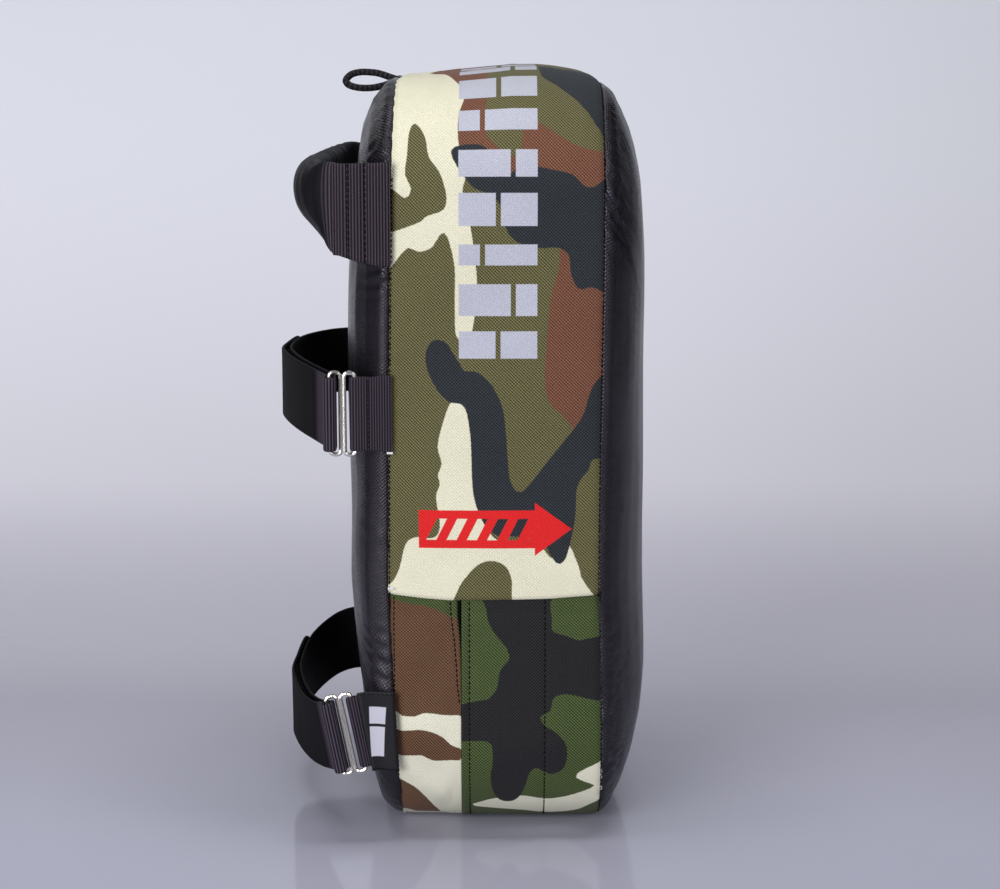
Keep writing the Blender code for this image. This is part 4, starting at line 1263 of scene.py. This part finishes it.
def tab(prefix, hang):
    bar = (BAR_X, BAR_Y)
    out = np.array([(-54.6, -101.2), (-58, -101.3), (-62, -101.3), (-66, -102.0), (-70, -103.3)])
    fold = arc(bar, 1.1 + 0.4 + 0.7, 270, 90, 10)
    back = np.array([(-70, -99.6), (-66, -100.0)])
    line = np.concatenate([spline(out, 4), fold, back])
    def wider(run, path):
        half = STRAP_WIDTH / 2 + 0.9 * (1 - fade(run, 2, 12))
        return -half, half

    item = tape(prefix + "_tab_webbing", line, STRAP_WIDTH, 1.4, hang, rib=RIB, edges=wider)
    finished(item, WEBBING, "pad", "webbing", prefix + "_tab")
    # A row of stitches closes the fold beside the bar.
    heights = np.linspace(-17, 17, 30)
    row = settle(np.stack([np.full(30, -66.6), np.full(30, -103.0), hang[0] + heights], -1), *hang)
    normal = np.tile([0.0, -1.0, 0.0], (30, 1))
    rows, normals = [row], [normal]
    tack, tack_normals = [], []
    for step in range(3):
        x = np.linspace(-56.6, -54.6, 3)
        height = hang[0] - 20.1 - 0.4 * step if prefix == "mid" else TACK_HEIGHT - 0.4 * step
        tack.append(np.stack([x, np.full(3, -101.2), np.full(3, height)], -1))
        tack_normals.append(np.tile([0.0, -1.0, 0.0], (3, 1)))
    white = stitches(prefix + "_bar_tack", tack, tack_normals, radius=0.22, length=1.3, pitch=1.1)
    finished(white, WHITE_THREAD, "pad", "webbing")
    if prefix == "lower":
        line = beside(out, 1.4)
        line[0, 0] = -53.0
        patch = tape("label", spline(line, 4), STRAP_WIDTH + 5, 0.8, hang, relief=0)
        finished(patch, LABEL, "pad", "label", "label_patch")
        rows, normals = [], []
        for up in (20.3, -20.3):
            places = np.stack([np.linspace(-54.5, -68.5, 12), np.full(12, -103.2), np.full(12, hang[0] + up)], -1)
            places[:, 1] = np.interp(places[:, 0], line[::-1, 0], line[::-1, 1]) - 0.45
            rows.append(settle(places, *hang))
            normals.append(np.tile([0.0, -1.0, 0.0], (12, 1)))
    thread = stitches(prefix + "_tab_stitches", rows, normals, radius=0.35, length=1.9, pitch=2.4)
    finished(thread, THREAD, "pad", "webbing")


# ---------------------------------------------------------------- handle and hang loop

GRIP_HEIGHT = 336.0
# The grip's middle line: X, Y, how full its section is, and how far it is raised.
GRIP = (
    (-79.6, -99.4, 0.0, 0.0), (-83.0, -98.6, 0.05, 0.4), (-87.0, -95.5, 0.35, 1.5), (-91.0, -88.5, 0.78, 1.6),
    (-94.0, -76.0, 0.97, 1.3), (-96.3, -58.0, 1.0, 0.9), (-98.6, -32.0, 1.0, 0.6), (-99.6, 0.0, 1.0, 0.5),
)
# Its section, outwards and upwards: flat webbing at the ends, and full where the fingers go round.
FLAT_SECTION = ((0, 21.6), (1.4, 20), (1.6, 15), (1.6, 9), (1.6, 3), (1.6, -3), (1.6, -9), (1.6, -15),
                (1.4, -21), (0.4, -24.3),
                (-1.2, -22.5), (-1.6, -15), (-1.6, -6), (-1.6, 3), (-1.6, 12), (-1.2, 19.6))
FULL_SECTION = ((0, 19.2), (4.6, 18.0), (8.0, 14.3), (9.8, 8.8), (10.0, 3), (8.8, -3), (6, -8), (2.5, -12),
                (-1, -16), (-4.2, -19.5),
                (-6.4, -20), (-7.5, -14), (-7.5, -6), (-7, 3), (-6.4, 11), (-4.6, 17.4))


def grip_skin(step):
    """The grip's skin as rings along its line: points, normals, and the ways along and round it."""
    half = np.array(GRIP)
    mirrored = half[:-1][::-1].copy()
    mirrored[:, 1] *= -1
    line, run = respaced(spline(np.concatenate([half, mirrored]), 10), step)
    flat, full = spline(FLAT_SECTION, 4, closed=True), spline(FULL_SECTION, 4, closed=True)
    share = np.clip(line[:, 2], 0, 1)[:, None, None]
    section = flat[None] * (1 - share) + full[None] * share
    along = np.gradient(line[:, :2], axis=0)
    along /= np.linalg.norm(along, axis=1, keepdims=True)
    outward = np.stack([-along[:, 1], along[:, 0]], 1)
    sides = section.shape[1]
    girth = np.arange(sides) / sides
    wrinkles = Ripples(80, 46, 14, 8).at(run[:, None] * 1.7 + 60 * girth[None, :])
    puff = 1 + 0.025 * wrinkles * share[..., 0]
    # A sewn edge runs along the top, and its stitches draw the cloth in.
    sewn = np.exp(-(((girth - 0.045) / 0.014) ** 2))[None, :] * share[..., 0]
    reach = section[..., 0] * puff - 0.5 * sewn
    rise = section[..., 1] * puff - 0.9 * sewn
    points = np.stack([
        line[:, 0:1] + outward[:, 0:1] * reach,
        line[:, 1:2] + outward[:, 1:2] * reach,
        GRIP_HEIGHT + rise + line[:, 3:4],
    ], -1)
    middle = np.stack([line[:, 0], line[:, 1], GRIP_HEIGHT + line[:, 3]], -1)[:, None]
    chart = np.stack(np.broadcast_arrays(run[:, None], (girth * 90)[None, :]), -1)
    return points, facing(points, ring=True, middle=middle), run, chart


def grip():
    points, normal, run, chart = grip_skin(1.5)
    item = tube_object("grip_cover", points, chart)
    finished(item, GRIP_CLOTH, "handle", "webbing", "handle_cover", "handle_foam")


WRAP_FROM, WRAP_TO = 2.5, 12.0  # along the grip's line
WRAP_SHARE = 0.6  # of the way round it, from its top over the outside to its foot


def grip_wrap(name, side):
    """The webbing's end: it lies on the outside of the grip, and its ribs run out into the grip's cover."""
    points, normal, run, chart = grip_skin(WIDE_RIB / 4)
    rows = np.flatnonzero((run > WRAP_FROM) & (run < WRAP_TO))
    columns = int(points.shape[1] * WRAP_SHARE)
    skin, out, run, chart = points[rows, :columns], normal[rows, :columns], run[rows], chart[rows, :columns]
    ridge = (np.abs(np.cos(np.pi * run / WIDE_RIB)) - 0.6) * 0.5 * (1 - fade(run, 5, 9))
    edge = np.clip(np.linspace(0, columns / 2, columns), 0.4, 1)
    thick = (0.15 + 0.4 * (1 - fade(run, 9, WRAP_TO)) + ridge)[:, None] * edge
    ring = np.concatenate([skin + out * thick[..., None], (skin - out * 0.3)[:, ::-1]], 1)
    ring[..., 1] *= -side
    item = tube_object(name, ring, np.concatenate([chart, chart[:, ::-1]], 1))
    finished(item, WRAP_WEBBING, "handle", "webbing")


ANCHOR_TALL = 50.0


def handle():
    grip()
    hang = (GRIP_HEIGHT, 0.0, 0.0, 0.0)

    def anchor_edges(run, path):
        x = path[:, 0]
        low = table(((-84, -24.6), (-80.5, -24.8), (-70.4, -28.3), (-59, -30.4), (-54, -30.6)), x)
        return low, table(((-84, 21.6), (-54, 22)), x)

    for name, side in (("near", -1), ("far", 1)):
        line = np.array([(-54.6, 101.2), (-58, 101.8), (-62.5, 101.9), (-65.8, 101.2), (-67.2, 100.6),
                         (-68.3, 101.6), (-69.6, 102.4), (-73, 102.7), (-75.2, 102.1), (-76.4, 101.9), (-78, 102.5), (-80, 102.2), (-83.4, 100.9)])
        line[:, 1] *= side
        item = tape("handle_%s_webbing" % name, spline(line, 6), ANCHOR_TALL, 1.5, hang, rib=WIDE_RIB, relief=0.55,
                    edges=anchor_edges)
        bend = ("handle", (-70 * MM, 0.1 * side, GRIP_HEIGHT * MM), (-82 * MM, 0.1 * side, GRIP_HEIGHT * MM))
        finished(item, WIDE_WEBBING, "pad", "webbing", "handle_%s_anchor" % name, bend=bend)
        grip_wrap("grip_%s_webbing" % name, side)
        rows, normals = [], []
        for x, y, low, high in ((-67.2, 101.7, -28, 21), (-75.4, 103.0, -25.5, 20.5), (-76.6, 102.9, -25, 20.5)):
            heights = np.linspace(low, high, 40)
            rows.append(np.stack([np.full(40, x), np.full(40, side * y), GRIP_HEIGHT + heights], -1))
            normals.append(np.tile([0.0, side, 0.0], (40, 1)))
        thread = stitches("handle_%s_stitches" % name, rows, normals, radius=0.5, length=2.3)
        finished(thread, THREAD, "pad", "webbing", bend=bend)
    half = np.array([(-75, -99.6), (-84, -98.0), (-89, -92), (-92.5, -82), (-94.5, -68), (-97.5, -40), (-99, 0)], float)
    line = np.concatenate([half, half[:-1][::-1] * [1, -1]])
    inner = tape("handle_inner_webbing", spline(line, 6), 20, 1.4, hang, relief=0)
    finished(inner, WIDE_WEBBING, "handle", "webbing", "handle_webbing")


LOOP_CORD = 3.3
# Its centre line, from one end to the other: it rises from the seam, tips over and rests on the leather.
LOOP_LINE = (
    (-51.5, 1.8, 395.0), (-54.6, 2.0, 396.6), (-58.7, 3.2, 397.9), (-62.5, 4.2, 399.2), (-66.8, 4.9, 400.2),
    (-73.9, 5.0, 400.6),
    (-79.0, 3.8, 399.6), (-81.6, 1.0, 397.6), (-82.2, -1.6, 395.6), (-79.8, -4.4, 393.6), (-74.6, -5.0, 392.4),
    (-68.1, -4.8, 392.4),
    (-61.6, -3.9, 393.7), (-57.3, -2.6, 395.2), (-54.4, -2.0, 395.6), (-51.5, -1.8, 394.4),
)


def hang_loop():
    """A braided cord, sewn in at both ends."""
    path, run = respaced(spline(LOOP_LINE, 8), 0.35)
    along = np.gradient(path, axis=0)
    along /= np.linalg.norm(along, axis=1, keepdims=True)
    up = np.tile([0.0, 0.0, 1.0], (len(path), 1))
    right = np.cross(along, up)
    right /= np.linalg.norm(right, axis=1, keepdims=True)
    up = np.cross(right, along)
    sides = 28
    turn = 2 * np.pi * np.arange(sides) / sides
    strand = 2 * np.pi * run[:, None] / 5.2
    one = np.abs(np.cos(2 * (turn[None, :] + strand)))
    two = np.abs(np.cos(2 * (turn[None, :] - strand)))
    radius = (LOOP_CORD / 2) * (0.84 + 0.34 * np.maximum(one, two) ** 1.5)
    out = np.cos(turn)[None, :, None] * right[:, None] + np.sin(turn)[None, :, None] * up[:, None]
    points = path[:, None] + radius[..., None] * out
    chart = np.stack(np.broadcast_arrays(run[:, None], turn[None, :] * LOOP_CORD / 2), -1)
    item = tube_object("hang_loop_cord", points, chart)
    finished(item, CORD_CLOTH, "pad", "cord", "hang_loop")
    centre = path[::12] * MM
    centre = np.concatenate([centre, path[-1:] * MM])


# ---------------------------------------------------------------- stage


CAMERA_PLACE, CAMERA_TILT, CAMERA_LENS = (0.001, -1.342, 0.433), 10.01, 88.34


def camera():
    data = bpy.data.cameras.new("camera")
    data.sensor_width = 36
    data.lens = CAMERA_LENS
    data.clip_start = 0.05
    eye = bpy.data.objects.new("camera", data)
    eye.location = CAMERA_PLACE
    eye.rotation_euler = (math.radians(90 - CAMERA_TILT), 0, 0)
    bpy.context.scene.collection.objects.link(eye)
    bpy.context.scene.camera = eye


# Painted light and shade on the sweep, as its tone by metres from its front edge: painted shade is darkest where the
# floor turns up, painted light brightest up the wall, dimming again towards its top.
SWEEP_PAINTED_LIGHT = ((2.9, (0.45, 0.45, 0.56)), (3.17, (0.38, 0.37, 0.45)), (3.44, (0.54, 0.53, 0.61)),
               (3.85, (0.75, 0.74, 0.82)),
               (4.4, (0.78, 0.79, 0.87)), (4.8, (0.74, 0.77, 0.84)), (5.4, (0.56, 0.58, 0.64)))


def stage():
    """A pale sweep: floor in front, curving up behind, its tones painted with light and shade."""
    near, back, bend, top = -3.0, 1.6, 0.9, 3.2
    profile = [(near, 0.0), (-1.0, 0.0), (0.0, 0.0), (back - bend, 0.0)]
    profile += [(back - bend + bend * math.sin(a), bend - bend * math.cos(a))
                for a in np.linspace(0.1, math.pi / 2, 14)]
    profile.append((back, top))
    profile = np.array(profile)
    run = np.concatenate([[0], np.cumsum(np.linalg.norm(np.diff(profile, axis=0), axis=1))])
    xs = np.linspace(-4, 4, 5)
    points = np.array([[(x, y, z) for y, z in profile] for x in xs]) / MM
    chart = np.stack(np.broadcast_arrays(np.array(xs)[:, None], run[None, :]), -1) / MM
    rows, columns = points.shape[:2]
    faces = grid_faces(rows, columns, False)[2].reshape(-1, 4)[:, [0, 3, 2, 1]].tolist()
    sweep = new_mesh("sweep", points.reshape(-1, 3), faces, chart=chart.reshape(-1, 2))
    finish = Finish("sweep_paper", srgb(200, 199, 212), 0.2, Specular_IOR_Level=0.12)
    place, u, v = finish.chart()
    ramp = finish.node("ShaderNodeValToRGB", {0: finish.div(v, 6.0)})
    stops = ramp.color_ramp.elements
    for at, (red, green, blue) in SWEEP_PAINTED_LIGHT:
        stop = stops.new(at / 6.0)
        stop.color = (red, green, blue, 1)
    stops.remove(stops[0])
    stops.remove(stops[-1])
    # Painted shade: the sweep darkens past 0.68 m to either side, and a little towards +X.
    beyond = finish.sub(1.0, finish.mul(finish.sub(finish.size(u), 0.68), 2.2, clamp=True))
    painted_shade = finish.mul(beyond, finish.mad(u, -0.08, 0.98))
    finish.put("Base Color", finish.scaled(ramp.outputs[0], 0.18, 1.0, painted_shade))
    gloss = finish.mad(finish.noise(place, 3), 0.04, 0.08)  # polished in front, matt where it rises
    finish.put("Roughness", finish.add(gloss, finish.mul(finish.sub(v, 3.25), 2.0, clamp=True), clamp=True))
    sweep.data.materials.append(finish.material)


def light(name, place, target, size, power):
    data = bpy.data.lights.new(name, "AREA")
    data.shape = "RECTANGLE"
    data.size, data.size_y = size
    data.energy = power
    lamp = bpy.data.objects.new(name, data)
    lamp.location = place
    lamp.visible_camera = False
    lamp.rotation_euler = (Vector(target) - Vector(place)).to_track_quat("-Z", "Y").to_euler()
    bpy.context.scene.collection.objects.link(lamp)


# Soft lights: name, place, what each points at, size and watts.
LIGHTS = (
    ("key", (-1.0, -1.65, 0.55), (0, 0, 0.2), (1.1, 1.0), 25),
    ("front", (0.5, -2.1, 0.8), (0, 0, 0.2), (0.9, 0.8), 11),
    ("side", (1.5, -0.95, 0.85), (0, 0, 0.25), (0.8, 0.8), 4),
    ("rim_left", (-0.9, 1.2, 0.9), (0, 0, 0.25), (0.2, 0.9), 1),
    ("back", (0.0, -0.1, 2.7), (0, 1.6, 0.3), (1.8, 1.0), 40),
)


def lights():
    for row in LIGHTS:
        light(*row)
    world = bpy.data.worlds.new("studio")
    world.use_nodes = True
    shade = world.node_tree.nodes["Background"]
    shade.inputs["Color"].default_value = (0.82, 0.83, 0.9, 1)
    shade.inputs["Strength"].default_value = 0.07
    bpy.context.scene.world = world
    bpy.context.scene.view_settings.view_transform = "Standard"


TAIL_WEBBING = tail_finish("strap_tail_webbing", 0.01, 0.01, RIB * MM)
STRAP_WEBBING = tail_finish("strap_webbing", 0.022, 0.01, RIB * MM)
# The grip webbing's third colour is the painted highlight on its ribs' crests.
WRAP_WEBBING = tail_finish("grip_webbing", 0.004, 0.005, WIDE_RIB * MM,
                           srgb(15, 15, 18), srgb(40, 38, 45), srgb(96, 84, 98))
CHROME = chrome_finish("chrome_wire")
LABEL = label_finish("label_cloth")
# The cord's lighter colour is a painted highlight on its braid's crests.
CORD_CLOTH = webbing_finish("black_cord", srgb(6, 5, 7), srgb(58, 53, 61), 0.0026, 0.0026)
GRIP_CLOTH = plain_cloth_finish("grip_cloth", srgb(15, 15, 18), srgb(40, 38, 45), 0.55, 1800, 0.0002)

camera()
hang_loop()
cover()
foam()
strap("mid", MID_STRAP)
strap("lower", LOWER_STRAP)
handle()
stage()
lights()

bpy.context.view_layer.update()
